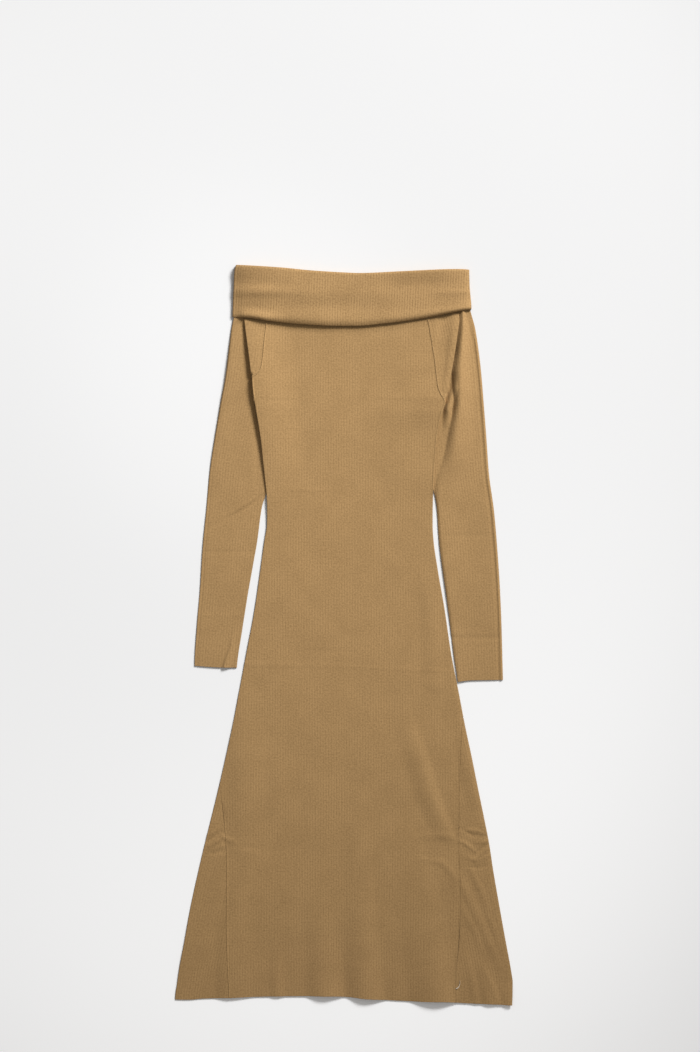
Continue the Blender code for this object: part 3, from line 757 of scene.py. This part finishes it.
def body_panel(name, is_front):
    layer = 1 if is_front else -1
    counts = EDGE_COUNTS + [BODY_MIDDLE] + EDGE_COUNTS[::-1]
    straight_y, column = grid_of(BODY_ROWS, sum(counts))

    def across(y):
        left = body_side["left"](y) - WALL / 2
        right = body_side["right"](y) - WALL / 2
        width = left + right
        start = body_edge_arc("left", y)
        end = half_length(width) - body_edge_arc("right", y)
        stops = [start + stop for stop in EDGE_STOPS]
        stops += [end - stop for stop in reversed(EDGE_STOPS)]
        arc = between(stops, counts, column)
        distance, up = on_tube(arc, width)
        seam = np.minimum(arc - start, end - arc)
        thin = np.minimum(pressed("left", distance), pressed("right", width - distance))
        thin = mix(1.0, thin, ease(-y / SKIRT_PRESS))
        return distance - left, up * layer, arc - arc_at(left), seam, thin

    def row_y(x):
        return curved_row(x, straight_y, hem_line, HEM_Y, HEM_BLEND)

    (x, up, knit_across, seam, thin), y = settle(across, straight_y, row_y)
    z = lay(x, up, y, HEM_FOLDS + BODY_FOLDS + SKIRT_FOLDS, thin)
    if is_front:
        z = z + seam_bead(seam) * front_bead_share(x, y)
    pattern = np.stack((knit_across, y), axis=2)
    return cloth_shell(name, stack(x, y, z), -layer, pattern, thin)


# ---------------------------------------------------------------- skirt gores
GORE_COUNTS = [3, 3, 38, 3, 3]
EDGE_NEAR = 5 * MM  # end of the closer columns
GORE_FULL = 14 * MM  # half a gore's width above which its columns have their full spacing


def edge_stops(end, scale=1.0):
    """Stops from a fold to the far edge of a half, with close columns at both."""
    fine, near = EDGE_FINE * scale, EDGE_NEAR * scale
    return [0 * end, fine, near, end - near, end - fine, end]


def gore(name, side):
    """A triangle of cloth let into the side of the skirt, folded at the side edge."""
    top = GORE_TOP_Y[side] - TIP_DROP
    rows = rows_between(
        top,
        (top - 1 * MM, 2),
        (GORE_TOP_Y["left"] - 2 * TIP_DROP, 34 if side == "right" else 1),
        (HEM_Y + 60 * MM, 116),
        (HEM_Y + 4 * MM, 24),
        (HEM_Y + 1 * MM, 3),
        (HEM_Y, 4),
    )
    sign = SIGN[side]
    half_columns = sum(GORE_COUNTS)
    straight_y, column = grid_of(rows, 2 * half_columns)
    half_column = np.abs(column - half_columns)
    layer = np.where(column > half_columns, 1.0, -1.0)

    def across(y):
        end = gore_half_width(side, y)
        stops = edge_stops(end, np.minimum(1.0, end / GORE_FULL))
        arc = between(stops, GORE_COUNTS, half_column)
        width = body_side["left"](y) + body_side["right"](y) - WALL
        distance, up = on_tube(arc, width)
        x = sign * (body_side[side](y) - WALL / 2 - distance)
        return x, up * layer, arc * layer, pressed(side, distance)

    def row_y(x):
        return curved_row(x, straight_y, hem_line, HEM_Y, HEM_BLEND)

    (x, up, knit_across, thin), y = settle(across, straight_y, row_y)
    z = lay(x, up, y, HEM_FOLDS + SKIRT_FOLDS, thin)
    pattern = np.stack((knit_across, y), axis=2)
    return cloth_shell(name, stack(x, y, z), sign, pattern, thin)


# ---------------------------------------------------------------- sleeves
SLEEVE_COUNTS = [5, 10, 30, 24, 12, 3, 5]
LIP_REACH = 5 * MM  # columns are close together this far to both sides of the lip
LIP_FROM_FOLD = 16 * MM  # the lip stays this far from the outer fold
LIP_FROM_SEAM = 0.3 * MM  # and from the raglan seam
LIP_FADE = 14 * MM  # height below the neck over which the lip gains its shift
SLEEVE_BEAD = 0.2  # share of the ridge that the sleeve's side of the raglan seam has
RIM_FADE = 50 * MM  # height over which the crease and bead of a rim gain their size
Rim = namedtuple("Rim", "top crease crease_depth bead bead_height width")
RIMS = {  # crease and bead along a sleeve's outer fold, in millimetres from it
    "left": Rim(top=470, crease=4.4, crease_depth=0.25, bead=1.6, bead_height=0.0, width=1.5),
    "right": Rim(top=535, crease=6.8, crease_depth=0.5, bead=2.6, bead_height=1.1, width=2.2),
}


def sleeve(name, side):
    """A raglan sleeve: open along the body above the armpit, a flat tube below it.

    Its top lies over the rest of it with a folded lip, which runs from the collar to the
    armpit in line with the body's side edge.
    """
    rows = rows_between(
        NECK_Y,
        (NECK_Y - 1 * MM, 2),
        (NECK_Y - NECK_OVERLAP, 5),
        (ARMPIT_Y, 46),
        (ARMPIT_Y - NOTCH, 4),
        (ARMPIT_Y - SLEEVE_DROP, 8),
        (330 * MM, 18),
        (CUFF_Y[side] + 4 * MM, 118),
        (CUFF_Y[side] + 1 * MM, 3),
        (CUFF_Y[side], 4),
    )
    sign = SIGN[side]
    half_columns = sum(SLEEVE_COUNTS)
    straight_y, column = grid_of(rows, 2 * half_columns)
    half_column = np.abs(column - half_columns)
    layer = np.where(column < half_columns, 1.0, -1.0)

    def across(y):
        outer = sleeve_outer[side](y) - WALL / 2
        above = y > ARMPIT_Y - NOTCH / 2
        tube = outer - sleeve_inner[side](y) - WALL / 2
        width = np.where(above, outer, tube)
        open_end = arc_at(outer - raglan_side[side](y) - SEAM / 2)
        end = np.where(above, open_end, half_length(width) - SEAM / 2)
        lip = arc_at(outer - lip_line[side](y) + WALL / 2)
        lip = np.clip(lip, LIP_FROM_FOLD, end - LIP_FROM_SEAM)
        room = end - lip
        # where the seam is close to the lip, the stops between them share the room
        stops = [
            0 * end,
            EDGE_STOPS[1] + 0 * end,
            EDGE_STOPS[3] + 0 * end,
            lip - LIP_REACH,
            lip + np.minimum(LIP_REACH, room * 0.6),
            end - np.minimum(EDGE_STOPS[2], room * 0.3),
            end - np.minimum(EDGE_STOPS[1], room * 0.15),
            end,
        ]
        arc = between(stops, SLEEVE_COUNTS, half_column)
        distance, up = on_tube(arc, width)
        turn = (arc - lip) / np.minimum(LIP_TURN, room * 0.45)
        shift = LIP_SHIFT * turn * np.exp((1 - turn**2) / 2)
        shift = np.where(turn > 0, shift * np.minimum(1, room / LIP_REACH), shift)
        x = sign * (outer - distance)
        return x, up * layer, arc * layer, turn, shift, end - arc, distance

    def row_y(x):
        return curved_row(x, straight_y, cuff_line[side], CUFF_Y[side], CUFF_BLEND)

    (x, up, arc, turn, shift, seam, distance), y = settle(across, straight_y, row_y)
    thin = pressed(side, distance)
    front_share = (up / FOLD + 1) / 2
    lying_over = ease((y - ARMPIT_Y + SLEEVE_DROP) / (SLEEVE_DROP - NOTCH))
    inside = ease((turn + 1) / 2) * lying_over
    z = lay(x, up, y, SLEEVE_FOLDS[side], thin, inside)
    raglan_share = SLEEVE_BEAD * front_share * ease((y - ARMPIT_Y) / RAGLAN_FADE)
    z = z + seam_bead(seam) * raglan_share
    z = z + roll_height(side, x, y) * (1 - inside) * front_share
    x = x + sign * shift * front_share * lying_over * ease((NECK_Y - y) / LIP_FADE)
    rim = RIMS[side]
    share = ease((rim.top * MM - y) / RIM_FADE) * front_share
    crease = np.exp(-(((distance / MM - rim.crease) / rim.width) ** 2))
    bead = np.exp(-(((distance / MM - rim.bead) / rim.width) ** 2))
    z = z + share * (rim.bead_height * bead - rim.crease_depth * crease) * MM
    pattern = np.stack((arc, y), axis=2)
    return cloth_shell(name, stack(x, y, z), -sign, pattern, thin)


# ---------------------------------------------------------------- collar
COLLAR_INNER_ROWS = 12
COLLAR_BEND_ROWS = 10
COLLAR_OUTER_ROWS = 34
COLLAR_COUNTS = [5, 3, 110, 3, 5]
COLLAR_CROWD = 1.6  # more than 1 brings rows closer together towards the free edge


def collar_profile(row, x):
    """Place across the collar's cloth: (offset outwards from the inner layer, y, run)."""
    free = collar_free(x)
    bend_y = collar_top(x) - WALL / 2 - FOLD
    inner = np.clip(row / COLLAR_INNER_ROWS, 0, 1)
    bend = np.clip((row - COLLAR_INNER_ROWS) / COLLAR_BEND_ROWS, 0, 1)
    outer = np.clip((row - COLLAR_INNER_ROWS - COLLAR_BEND_ROWS) / COLLAR_OUTER_ROWS, 0, 1)
    outer = 1 - (1 - outer) ** COLLAR_CROWD
    turn = math.pi * bend
    offset = FOLD * (1 - np.cos(turn))
    y = mix(free + NECK_OVERLAP, bend_y, inner) + FOLD * np.sin(turn)
    y = y + (free - bend_y) * outer
    run = (bend_y - free - NECK_OVERLAP) * inner + FOLD * turn + (bend_y - free) * outer
    return offset, y, run


def collar(name):
    """The fold-over collar: a closed band, doubled over its own seam to the dress."""
    half_columns = sum(COLLAR_COUNTS)
    rows = COLLAR_INNER_ROWS + COLLAR_BEND_ROWS + COLLAR_OUTER_ROWS
    row, column = grid_of(np.arange(rows + 1, dtype=float), 2 * half_columns)
    over = column <= half_columns
    half_column = np.where(over, column, 2 * half_columns - column)
    layer = np.where(over, 1.0, -1.0)

    def sides(y):
        left = collar_side["left"](y) - WALL / 2 - LAYER
        right = collar_side["right"](y) - WALL / 2 - LAYER
        return left, left + right

    def across(y):
        left, width = sides(y)
        arc = between(edge_stops(half_length(width)), COLLAR_COUNTS, half_column)
        distance, up = on_tube(arc, width)
        return distance - left, up * layer, arc, distance

    def row_y(x):
        return collar_profile(row, x)[1]

    (x, up, arc, distance), _ = settle(across, np.full(row.shape, NECK_Y), row_y)
    offset, y, run = collar_profile(row, x)
    left, width = sides(y)
    flat = width - 2 * FOLD
    first = np.clip(arc / FOLD, 0, math.pi / 2)
    last = np.clip((arc - QUARTER - flat) / FOLD, 0, math.pi / 2)
    turn_across = np.sin(last) - np.cos(first)
    turn_up = np.where(last > 0, np.cos(last), np.sin(first)) * layer
    above = y - collar_free(x)
    curl = collar_curl(above / collar_reach(x) * MM) / MM * collar_lift(x)
    curl = curl + collar_flare(x) * (1 - ease(above / COLLAR_FLARE_REACH))
    curl = curl + collar_step(x) * ease((y - COLLAR_STEP_Y) / COLLAR_STEP_REACH + 0.5)
    outer_share = ease(turn_up) * offset / LAYER
    thin = np.minimum(pressed("left", distance), pressed("right", width - distance))
    z = (WALL / 2 + FOLD + LAYER + up + turn_up * offset) * thin + curl * outer_share
    x = x + turn_across * offset
    z = z + (folds_height(COLLAR_FOLDS, x, y, 1) + swell_height(x, y)) * outer_share
    whole = np.where(over, arc, 2 * half_length(width) - arc)
    pattern = np.stack((whole, run), axis=2)
    return cloth_shell(name, stack(x, y, z), -1, pattern, thin, closed=True)


# ---------------------------------------------------------------- sewing
STITCH_PITCH = 2.3 * MM
STITCH_SIZE = (1.3 * MM, 0.52 * MM, 0.34 * MM)  # half of its length, width and height
RAGLAN_END = {"left": 434 * MM, "right": ARMPIT_Y}  # where its stitches pass out of sight
STITCH_SLANT = math.radians(16)
STITCH_AHEAD = 1 * MM  # how far ahead along the seam a stitch points
EDGE_COLUMN = {"left": (0, 3), "right": (-1, -4)}  # a panel's sewn edge, and just inside it
SLEEVE_COLUMN = (-1, -4)  # the same on a sleeve
UNDERARM_ROW = 67  # first row of a sleeve with underarm stitches, below its drop
GORE_CLEAR = 8 * MM  # height of a gore's point without stitches
# depth of the stitches in the cloth, or height over it when below zero
RAGLAN_SINK = -0.28 * MM
GORE_SINK = 0.42 * MM
SIDE_SINK = {"left": 0.6 * MM, "right": 0.0}
UNDERARM_SINK = 0.3 * MM
BACK_RISE = 0.25 * MM  # how much higher the back panel's stitches lie


def stitches(name, edge, inner, sink):
    """Row of slanting stitches along a sewn edge, level with the cloth just inside it."""
    edge = edge.copy()
    edge[:, 2] = inner[:, 2] - sink
    run = np.concatenate(([0], np.cumsum(np.linalg.norm(np.diff(edge, axis=0), axis=1))))
    count = max(2, int(run[-1] / STITCH_PITCH))
    places = (np.arange(count) + 0.5) * run[-1] / count
    at = np.stack([np.interp(places, run, edge[:, axis]) for axis in range(3)], axis=1)
    places = places + STITCH_AHEAD
    ahead = np.stack([np.interp(places, run, edge[:, axis]) for axis in range(3)], axis=1)
    bm = bmesh.new()
    for place, way in zip(at, ahead - at):
        turn = Vector(way).to_track_quat("X", "Z").to_matrix().to_4x4()
        turn = Matrix.Translation(Vector(place)) @ turn @ Matrix.Rotation(STITCH_SLANT, 4, "Z")
        shape = turn @ Matrix.Diagonal((*STITCH_SIZE, 1))
        bmesh.ops.create_icosphere(bm, subdivisions=1, radius=1, matrix=shape)
    return piece_of(bm, name)


def panel_stitches(panel, layer, outer, rows):
    """The seams of a front or back panel: raglan, side and gore, on both its edges."""
    pieces = {}
    for side, (at, inside) in EDGE_COLUMN.items():
        above = rows >= RAGLAN_END[side]
        below = (rows <= ARMPIT_Y - NOTCH) & (rows >= GORE_TOP_Y[side])
        at_gore = rows < GORE_TOP_Y[side] - GORE_CLEAR
        seams = [("raglan", above, RAGLAN_SINK), ("gore", at_gore, GORE_SINK)]
        if layer > 0:
            seams.append(("side", below, SIDE_SINK[side]))
        for kind, part, sink in seams:
            name = "{}_{}_{}_stitches".format(panel, kind, side)
            sink = sink if layer > 0 else -sink - BACK_RISE
            pieces[name] = stitches(name, outer[part, at], outer[part, inside], sink)
    return pieces


Tail = namedtuple("Tail", "x y rise")
LOOSE_THREAD = table(
    Tail,
    (188.4, -596, 0), (190.6, -595.6, 0.5), (193, -593.6, 0.9), (194.8, -590.4, 1),
    (195.8, -586.6, 0.8), (195.6, -583, 0.4),
)
THREAD_RADIUS = 0.65 * MM


def loose_thread(name, lying):
    """Short tail of sewing thread at the foot of the right gore's seam.

    lying gives the height of the thread's middle where it lies on the front.
    """
    points = []
    for tail in LOOSE_THREAD:
        x, y = tail.x * MM, tail.y * MM
        points.append(Vector((x, y, lying(x, y) + tail.rise * MM)))
    bm = bmesh.new()
    first_way = (points[1] - points[0]).to_track_quat("Z", "Y").to_matrix().to_4x4()
    start = Matrix.Translation(points[0]) @ first_way
    bmesh.ops.create_circle(bm, cap_ends=True, segments=8, radius=THREAD_RADIUS, matrix=start)
    edges = bm.edges[:]
    for last, point in zip(points, points[1:]):
        made = bmesh.ops.extrude_edge_only(bm, edges=edges)["geom"]
        ring = {part for part in made if isinstance(part, bmesh.types.BMVert)}
        edges = [
            part for part in made
            if isinstance(part, bmesh.types.BMEdge) and ring.issuperset(part.verts)
        ]
        bmesh.ops.translate(bm, verts=list(ring), vec=point - last)
    bmesh.ops.contextual_create(bm, geom=edges)
    bmesh.ops.recalc_face_normals(bm, faces=bm.faces[:])
    return piece_of(bm, name)


# ---------------------------------------------------------------- materials
# Stitches of the raglan, side and underarm seams, lighter than the knit: painted highlight of the
# lit seam ridges.
PAINTED_HIGHLIGHT_THREAD_COLOUR = (0.50, 0.345, 0.17, 1.0)
# Stitches in the gore seams, darker than the knit: painted shade of the seam's gap.
PAINTED_SHADE_SEAM_COLOUR = (0.20, 0.122, 0.052, 1.0)
TAIL_COLOUR = (0.93, 0.86, 0.74, 1.0)
THREAD_DARK = 0.72  # share of the colour that a thread's darkest places have
THREAD_MOTTLE, THREAD_TWIST = 700.0, 2400.0  # patterns to a metre: uneven tone, and twist
THREAD_RELIEF = 0.08 * MM


def matt_material(name, roughness, specular):
    """New matt material: (material, its node tree, its shader)."""
    material = bpy.data.materials.new(name)
    material.use_nodes = True
    shader = material.node_tree.nodes["Principled BSDF"]
    shader.inputs["Roughness"].default_value = roughness
    shader.inputs["Specular IOR Level"].default_value = specular
    return material, material.node_tree, shader


def add_bump(tree, shader, height, distance):
    bump = tree.nodes.new("ShaderNodeBump")
    bump.inputs["Strength"].default_value = 1.0
    bump.inputs["Distance"].default_value = distance
    tree.links.new(height, bump.inputs["Height"])
    tree.links.new(bump.outputs["Normal"], shader.inputs["Normal"])


def thread_material(name, colour):
    """Twisted sewing thread, a little uneven in tone."""
    material, tree, shader = matt_material(name, 0.8, 0.2)
    place = tree.nodes.new("ShaderNodeTexCoord").outputs["Object"]
    tone = noise(tree, place, THREAD_MOTTLE, 2.0, 0.6)
    dark = tuple(part * THREAD_DARK for part in colour[:3]) + (1.0,)
    tree.links.new(blend_colour(tree, tone, dark, colour), shader.inputs["Base Color"])
    add_bump(tree, shader, noise(tree, place, THREAD_TWIST, 1.0), THREAD_RELIEF)
    return material


def socket_of(tree, value, target):
    """Set an input socket to a number or colour, or link another socket to it."""
    if isinstance(value, (int, float, tuple)):
        target.default_value = value
    else:
        tree.links.new(value, target)


def calc(tree, operation, *values):
    """A Math node on numbers or sockets; returns its output."""
    node = tree.nodes.new("ShaderNodeMath")
    node.operation = operation
    for value, target in zip(values, node.inputs):
        socket_of(tree, value, target)
    return node.outputs[0]


def times(tree, *values):
    return calc(tree, "MULTIPLY", *values)


def plus(tree, total, *others):
    """Sum of two or more numbers or sockets."""
    for other in others:
        total = calc(tree, "ADD", total, other)
    return total


def there_and_back(tree, turns):
    """Rise from 0 to 1 and fall again in every whole turn."""
    return times(tree, calc(tree, "PINGPONG", turns, 0.5), 2.0)


def ramp(tree, value, low, high, to_low=0.0, to_high=1.0):
    """Smooth step of a socket between two values."""
    node = tree.nodes.new("ShaderNodeMapRange")
    node.interpolation_type = "SMOOTHSTEP"
    for key, amount in zip(
        ("Value", "From Min", "From Max", "To Min", "To Max"), (value, low, high, to_low, to_high)
    ):
        socket_of(tree, amount, node.inputs[key])
    return node.outputs["Result"]


def noise(tree, vector, scale, detail=2.0, roughness=0.5):
    node = tree.nodes.new("ShaderNodeTexNoise")
    socket_of(tree, vector, node.inputs["Vector"])
    node.inputs["Scale"].default_value = scale
    node.inputs["Detail"].default_value = detail
    node.inputs["Roughness"].default_value = roughness
    return node.outputs["Fac"]


def join(tree, x, y, z=0.0):
    node = tree.nodes.new("ShaderNodeCombineXYZ")
    for value, target in zip((x, y, z), node.inputs):
        socket_of(tree, value, target)
    return node.outputs[0]


def blend_colour(tree, share, a, b):
    node = tree.nodes.new("ShaderNodeMix")
    node.data_type = "RGBA"
    socket_of(tree, share, node.inputs["Factor"])
    socket_of(tree, a, node.inputs["A"])
    socket_of(tree, b, node.inputs["B"])
    return node.outputs["Result"]


RIB_PITCH = 4.5 * MM
RIB_WANDER = 6 * MM
WALES = 4.0  # columns of loops to a rib
COURSE_PITCH = 1.0 * MM  # height of a loop
COURSE_SLANT = 0.45  # loops that a course climbs from the side of a wale to its middle
FIBRE_HEIGHT = 0.05 * MM
GRAIN_HEIGHT = 0.25 * MM


def rib_knit_group():
    """Fine rib knit from the knit's own coordinates: ribs and loops as relief and as painted
    shade between them, and heathered yarn.
    """
    group = bpy.data.node_groups.new("rib_knit_cloth", "ShaderNodeTree")
    face = group.interface
    inputs = (
        ("Vector", "NodeSocketVector", None),
        ("Colour", "NodeSocketColor", KNIT_COLOUR),
        ("Shade", "NodeSocketColor", KNIT_SHADE),
        ("Rib Pitch", "NodeSocketFloat", RIB_PITCH),
        ("Rib Height", "NodeSocketFloat", 0.10 * MM),
        ("Loop Height", "NodeSocketFloat", 0.06 * MM),
        ("Heather", "NodeSocketFloat", 0.2),
        ("Grain", "NodeSocketFloat", 1.7),
        # Rib Painted Shade: how much painted shade darkens the knit between its ribs
        ("Rib Painted Shade", "NodeSocketFloat", 0.24),
    )
    for label, kind, value in inputs:
        item = face.new_socket(name=label, in_out="INPUT", socket_type=kind)
        if value is not None:
            item.default_value = value
    for label, kind in (("Colour", "NodeSocketColor"), ("Height", "NodeSocketFloat")):
        face.new_socket(name=label, in_out="OUTPUT", socket_type=kind)
    given = group.nodes.new("NodeGroupInput").outputs
    split = group.nodes.new("ShaderNodeSeparateXYZ")
    group.links.new(given["Vector"], split.inputs[0])
    across, along = split.outputs[0], split.outputs[1]

    # ribs wander a little and are clearer in some places than in others
    slow = join(group, times(group, across, 9.0), times(group, along, 5.0))
    wander = calc(group, "SUBTRACT", noise(group, slow, 1.0), 0.5)
    rib_at = plus(group, across, times(group, wander, RIB_WANDER))
    rib_at = calc(group, "DIVIDE", rib_at, given["Rib Pitch"])
    rib = ramp(group, there_and_back(group, rib_at), 0.05, 0.8)
    clear = ramp(group, noise(group, given["Vector"], 22.0, 1.0), 0.35, 0.65, 0.35, 1.0)
    rib = times(group, rib, clear)

    # loops of the knit, which keep part of their height between courses
    wale = there_and_back(group, times(group, rib_at, WALES))
    course = calc(group, "DIVIDE", along, COURSE_PITCH)
    course = there_and_back(group, plus(group, course, times(group, wale, COURSE_SLANT)))
    course = plus(group, times(group, ramp(group, course, 0.0, 0.9), 0.6), 0.4)
    loop = times(group, ramp(group, wale, 0.0, 0.6), course)

    # yarn: streaks along it, fine fibres, grain and slow clouds
    thin = join(group, times(group, across, 420.0), times(group, along, 26.0), 3.0)
    streak = noise(group, thin, 1.0)
    fibre = noise(group, given["Vector"], 900.0, 3.0, 0.7)
    grain = calc(group, "SUBTRACT", noise(group, given["Vector"], 360.0, 2.0, 0.6), 0.5)
    cloud = noise(group, given["Vector"], 34.0, 3.0, 0.6)
    height = plus(
        group,
        times(group, rib, given["Rib Height"]),
        times(group, loop, given["Loop Height"]),
        times(group, fibre, FIBRE_HEIGHT),
        times(group, grain, GRAIN_HEIGHT),
    )

    # knit colour: painted shade between the ribs and between the loops, and yarn heathered along
    # its length
    tone = plus(
        group,
        times(group, rib, given["Rib Painted Shade"]),
        times(group, loop, 0.16),
        times(group, streak, 0.30),
        times(group, fibre, given["Heather"]),
        times(group, cloud, 0.24),
        times(group, grain, given["Grain"]),
        0.14,
    )
    colour = blend_colour(group, tone, given["Shade"], given["Colour"])
    out = group.nodes.new("NodeGroupOutput").inputs
    group.links.new(colour, out["Colour"])
    group.links.new(height, out["Height"])
    return group


def knit_material(name, group, **values):
    """Rib knit; values set inputs of its node group."""
    material, tree, shader = matt_material(name, 0.92, 0.15)
    place = tree.nodes.new("ShaderNodeUVMap")
    place.uv_map = KNIT_UV
    cloth = tree.nodes.new("ShaderNodeGroup")
    cloth.node_tree = group
    tree.links.new(place.outputs["UV"], cloth.inputs["Vector"])
    for label, value in values.items():
        cloth.inputs[label].default_value = value
    tree.links.new(cloth.outputs["Colour"], shader.inputs["Base Color"])
    add_bump(tree, shader, cloth.outputs["Height"], 1.0)
    shader.inputs["Sheen Weight"].default_value = 0.12
    shader.inputs["Sheen Roughness"].default_value = 0.45
    shader.inputs["Sheen Tint"].default_value = (1.0, 0.86, 0.62, 1.0)
    return material


FLOOR_TONE = (0.64, 0.885)  # where the pool of light is brightest, and at its rim
FLOOR_POOL = (0.3, 1.25)  # distances from the middle of the pool with those two tones
FLOOR_SLOPE = (-0.072, -0.095)  # change of that tone along x and y
FLOOR_TWIST = -0.111  # and along both together
FLOOR_TINT = (1.008, 1.03)  # green and blue, as shares of red


def floor_material():
    """Pale matt floor, whose tone makes up for the falling off of the light."""
    material, tree, shader = matt_material("pale_floor", 0.9, 0.1)
    split = tree.nodes.new("ShaderNodeSeparateXYZ")
    place = tree.nodes.new("ShaderNodeTexCoord").outputs["Object"]
    tree.links.new(place, split.inputs[0])
    x, y = [calc(tree, "SUBTRACT", split.outputs[axis], KEY_AIM[axis]) for axis in (0, 1)]
    away = calc(tree, "SQRT", plus(tree, times(tree, x, x), times(tree, y, y)))
    tone = plus(
        tree,
        ramp(tree, away, *FLOOR_POOL, *FLOOR_TONE),
        times(tree, x, FLOOR_SLOPE[0]),
        times(tree, y, FLOOR_SLOPE[1]),
        times(tree, times(tree, x, y), FLOOR_TWIST),
    )
    colour = join(tree, tone, *[times(tree, tone, tint) for tint in FLOOR_TINT])
    tree.links.new(colour, shader.inputs["Base Color"])
    return material


# ---------------------------------------------------------------- floor, light, camera
VIEW_X, VIEW_Y = 10.2 * MM, 184.6 * MM  # the camera looks straight down here
VIEW_HEIGHT = 4.0
VIEW_LENGTH = 1.776  # of floor that the picture's long side takes in
FILM = 36.0  # length of the film's long side, in millimetres

FLOOR_HALF = 3.0  # half the length of the floor's sides
FLOOR_DROP = 0.2 * MM  # below z = 0, clear of the cloth's lowest creases

KEY_TURN = math.radians(50)  # from +X towards +Y
KEY_RISE = math.radians(31)
KEY_DISTANCE = 4.0
KEY_AIM = (-0.17, 0.45)  # where the middle of its pool of light falls
KEY_POOL = 1.8  # radius of the pool
KEY_POWER = 1660.0
KEY_RADIUS = 0.75
KEY_COLOUR = (1.0, 0.995, 0.98)
FILL = 0.38  # strength of the even light from all round
FILL_COLOUR = (1.0, 0.975, 0.935, 1.0)


def add_floor():
    bm = bmesh.new()
    bmesh.ops.create_grid(bm, x_segments=2, y_segments=2, size=FLOOR_HALF)
    bmesh.ops.translate(bm, verts=bm.verts[:], vec=(0, 0, -FLOOR_DROP))
    floor = piece_of(bm, "floor")
    floor.data.materials.append(floor_material())


def direction(turn, rise):
    """Unit vector towards a light, turned from +X towards +Y and raised from the floor."""
    level = math.cos(rise)
    return Vector((level * math.cos(turn), level * math.sin(turn), math.sin(rise)))


def add_light():
    lamp = bpy.data.lights.new("key", "SPOT")
    lamp.energy = KEY_POWER
    lamp.shadow_soft_size = KEY_RADIUS
    lamp.spot_size = 2 * math.atan(KEY_POOL / KEY_DISTANCE)
    lamp.spot_blend = 1.0
    lamp.color = KEY_COLOUR
    key = bpy.data.objects.new("key", lamp)
    towards = direction(KEY_TURN, KEY_RISE)
    key.location = Vector((*KEY_AIM, 0)) + towards * KEY_DISTANCE
    key.rotation_euler = towards.to_track_quat("Z", "Y").to_euler()
    key.scale = (1.0, math.sin(KEY_RISE), 1.0)  # the slanting beam makes a round pool
    bpy.context.scene.collection.objects.link(key)
    world = bpy.data.worlds.new("room")
    world.use_nodes = True
    back = world.node_tree.nodes["Background"]
    back.inputs["Color"].default_value = FILL_COLOUR
    back.inputs["Strength"].default_value = FILL
    bpy.context.scene.world = world


def add_camera():
    data = bpy.data.cameras.new("camera")
    data.sensor_width = FILM
    data.lens = FILM * VIEW_HEIGHT / VIEW_LENGTH
    data.clip_end = 20
    camera = bpy.data.objects.new("camera", data)
    camera.location = (VIEW_X, VIEW_Y, VIEW_HEIGHT)
    bpy.context.scene.collection.objects.link(camera)
    bpy.context.scene.camera = camera
    bpy.context.scene.view_settings.view_transform = "Standard"


# ---------------------------------------------------------------- the dress
# Flat size of each cut piece, all round on a tube: width and length in millimetres, area
# in square metres.
Cut = namedtuple("Cut", "width length area")


# The collar's ribs get more relief, more grain and more painted shade between them.
WIDE_RIBS = {"Rib Painted Shade": 0.42, "Rib Height": 0.17 * MM, "Grain": 2.2}  # of the collar


def make_shells():
    """All pieces of cloth by the node that they stand for: (piece, its outer grid)."""
    shells = {"front": body_panel("front_panel", True), "back": body_panel("back_panel", False)}
    for side in SIGN:
        shells["sleeve_" + side] = sleeve("sleeve_" + side + "_cloth", side)
        shells["gore_" + side] = gore("gore_" + side + "_cloth", side)
    shells["collar"] = collar("collar_cloth")
    return shells


def sew(shells):
    """All stitches and the loose thread, by the node whose cloth they are on."""
    # Raglan, side and underarm stitches are lighter than the knit, a painted highlight; the
    # gores' stitches are darker, painted shade of their seam gap.
    highlight_thread = thread_material("sewing_thread_painted_highlight", PAINTED_HIGHLIGHT_THREAD_COLOUR)
    shade_thread = thread_material("seam_yarn_painted_shade", PAINTED_SHADE_SEAM_COLOUR)
    sewing = {}
    for node, layer in (("front", 1), ("back", -1)):
        sewing[node] = panel_stitches(node, layer, shells[node][1], BODY_ROWS)
    for side in SIGN:
        outer = shells["sleeve_" + side][1][UNDERARM_ROW:]
        name = "underarm_{}_stitches".format(side)
        edge, inner = [outer[:, column] for column in SLEEVE_COLUMN]
        sewing["sleeve_" + side] = {name: stitches(name, edge, inner, UNDERARM_SINK)}
    for pieces in sewing.values():
        for name, piece in pieces.items():
            # gore stitches carry painted shade, all other stitches a painted highlight
            piece.data.materials.append(shade_thread if "gore" in name else highlight_thread)

    front = shells["front"][1].reshape(-1, 3)

    def lying(x, y):
        nearest = np.argmin(np.hypot(front[:, 0] - x, front[:, 1] - y))
        return front[nearest, 2] + THREAD_RADIUS

    tail = loose_thread("loose_thread", lying)
    tail.data.materials.append(thread_material("thread_tail", TAIL_COLOUR))
    sewing["front"]["loose_thread"] = tail
    return sewing


def main():
    add_camera()
    add_floor()
    add_light()
    group = rib_knit_group()
    material = knit_material("rib_knit", group)
    collar_material = knit_material("rib_knit_collar", group, **WIDE_RIBS)
    shells = make_shells()
    sewing = sew(shells)
    for pieces in sewing.values():
        for piece in pieces.values():
            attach(piece, "root")
    for node, (piece, _) in shells.items():
        piece.data.materials.append(collar_material if node == "collar" else material)
        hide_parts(node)
        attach(piece, "root")


main()
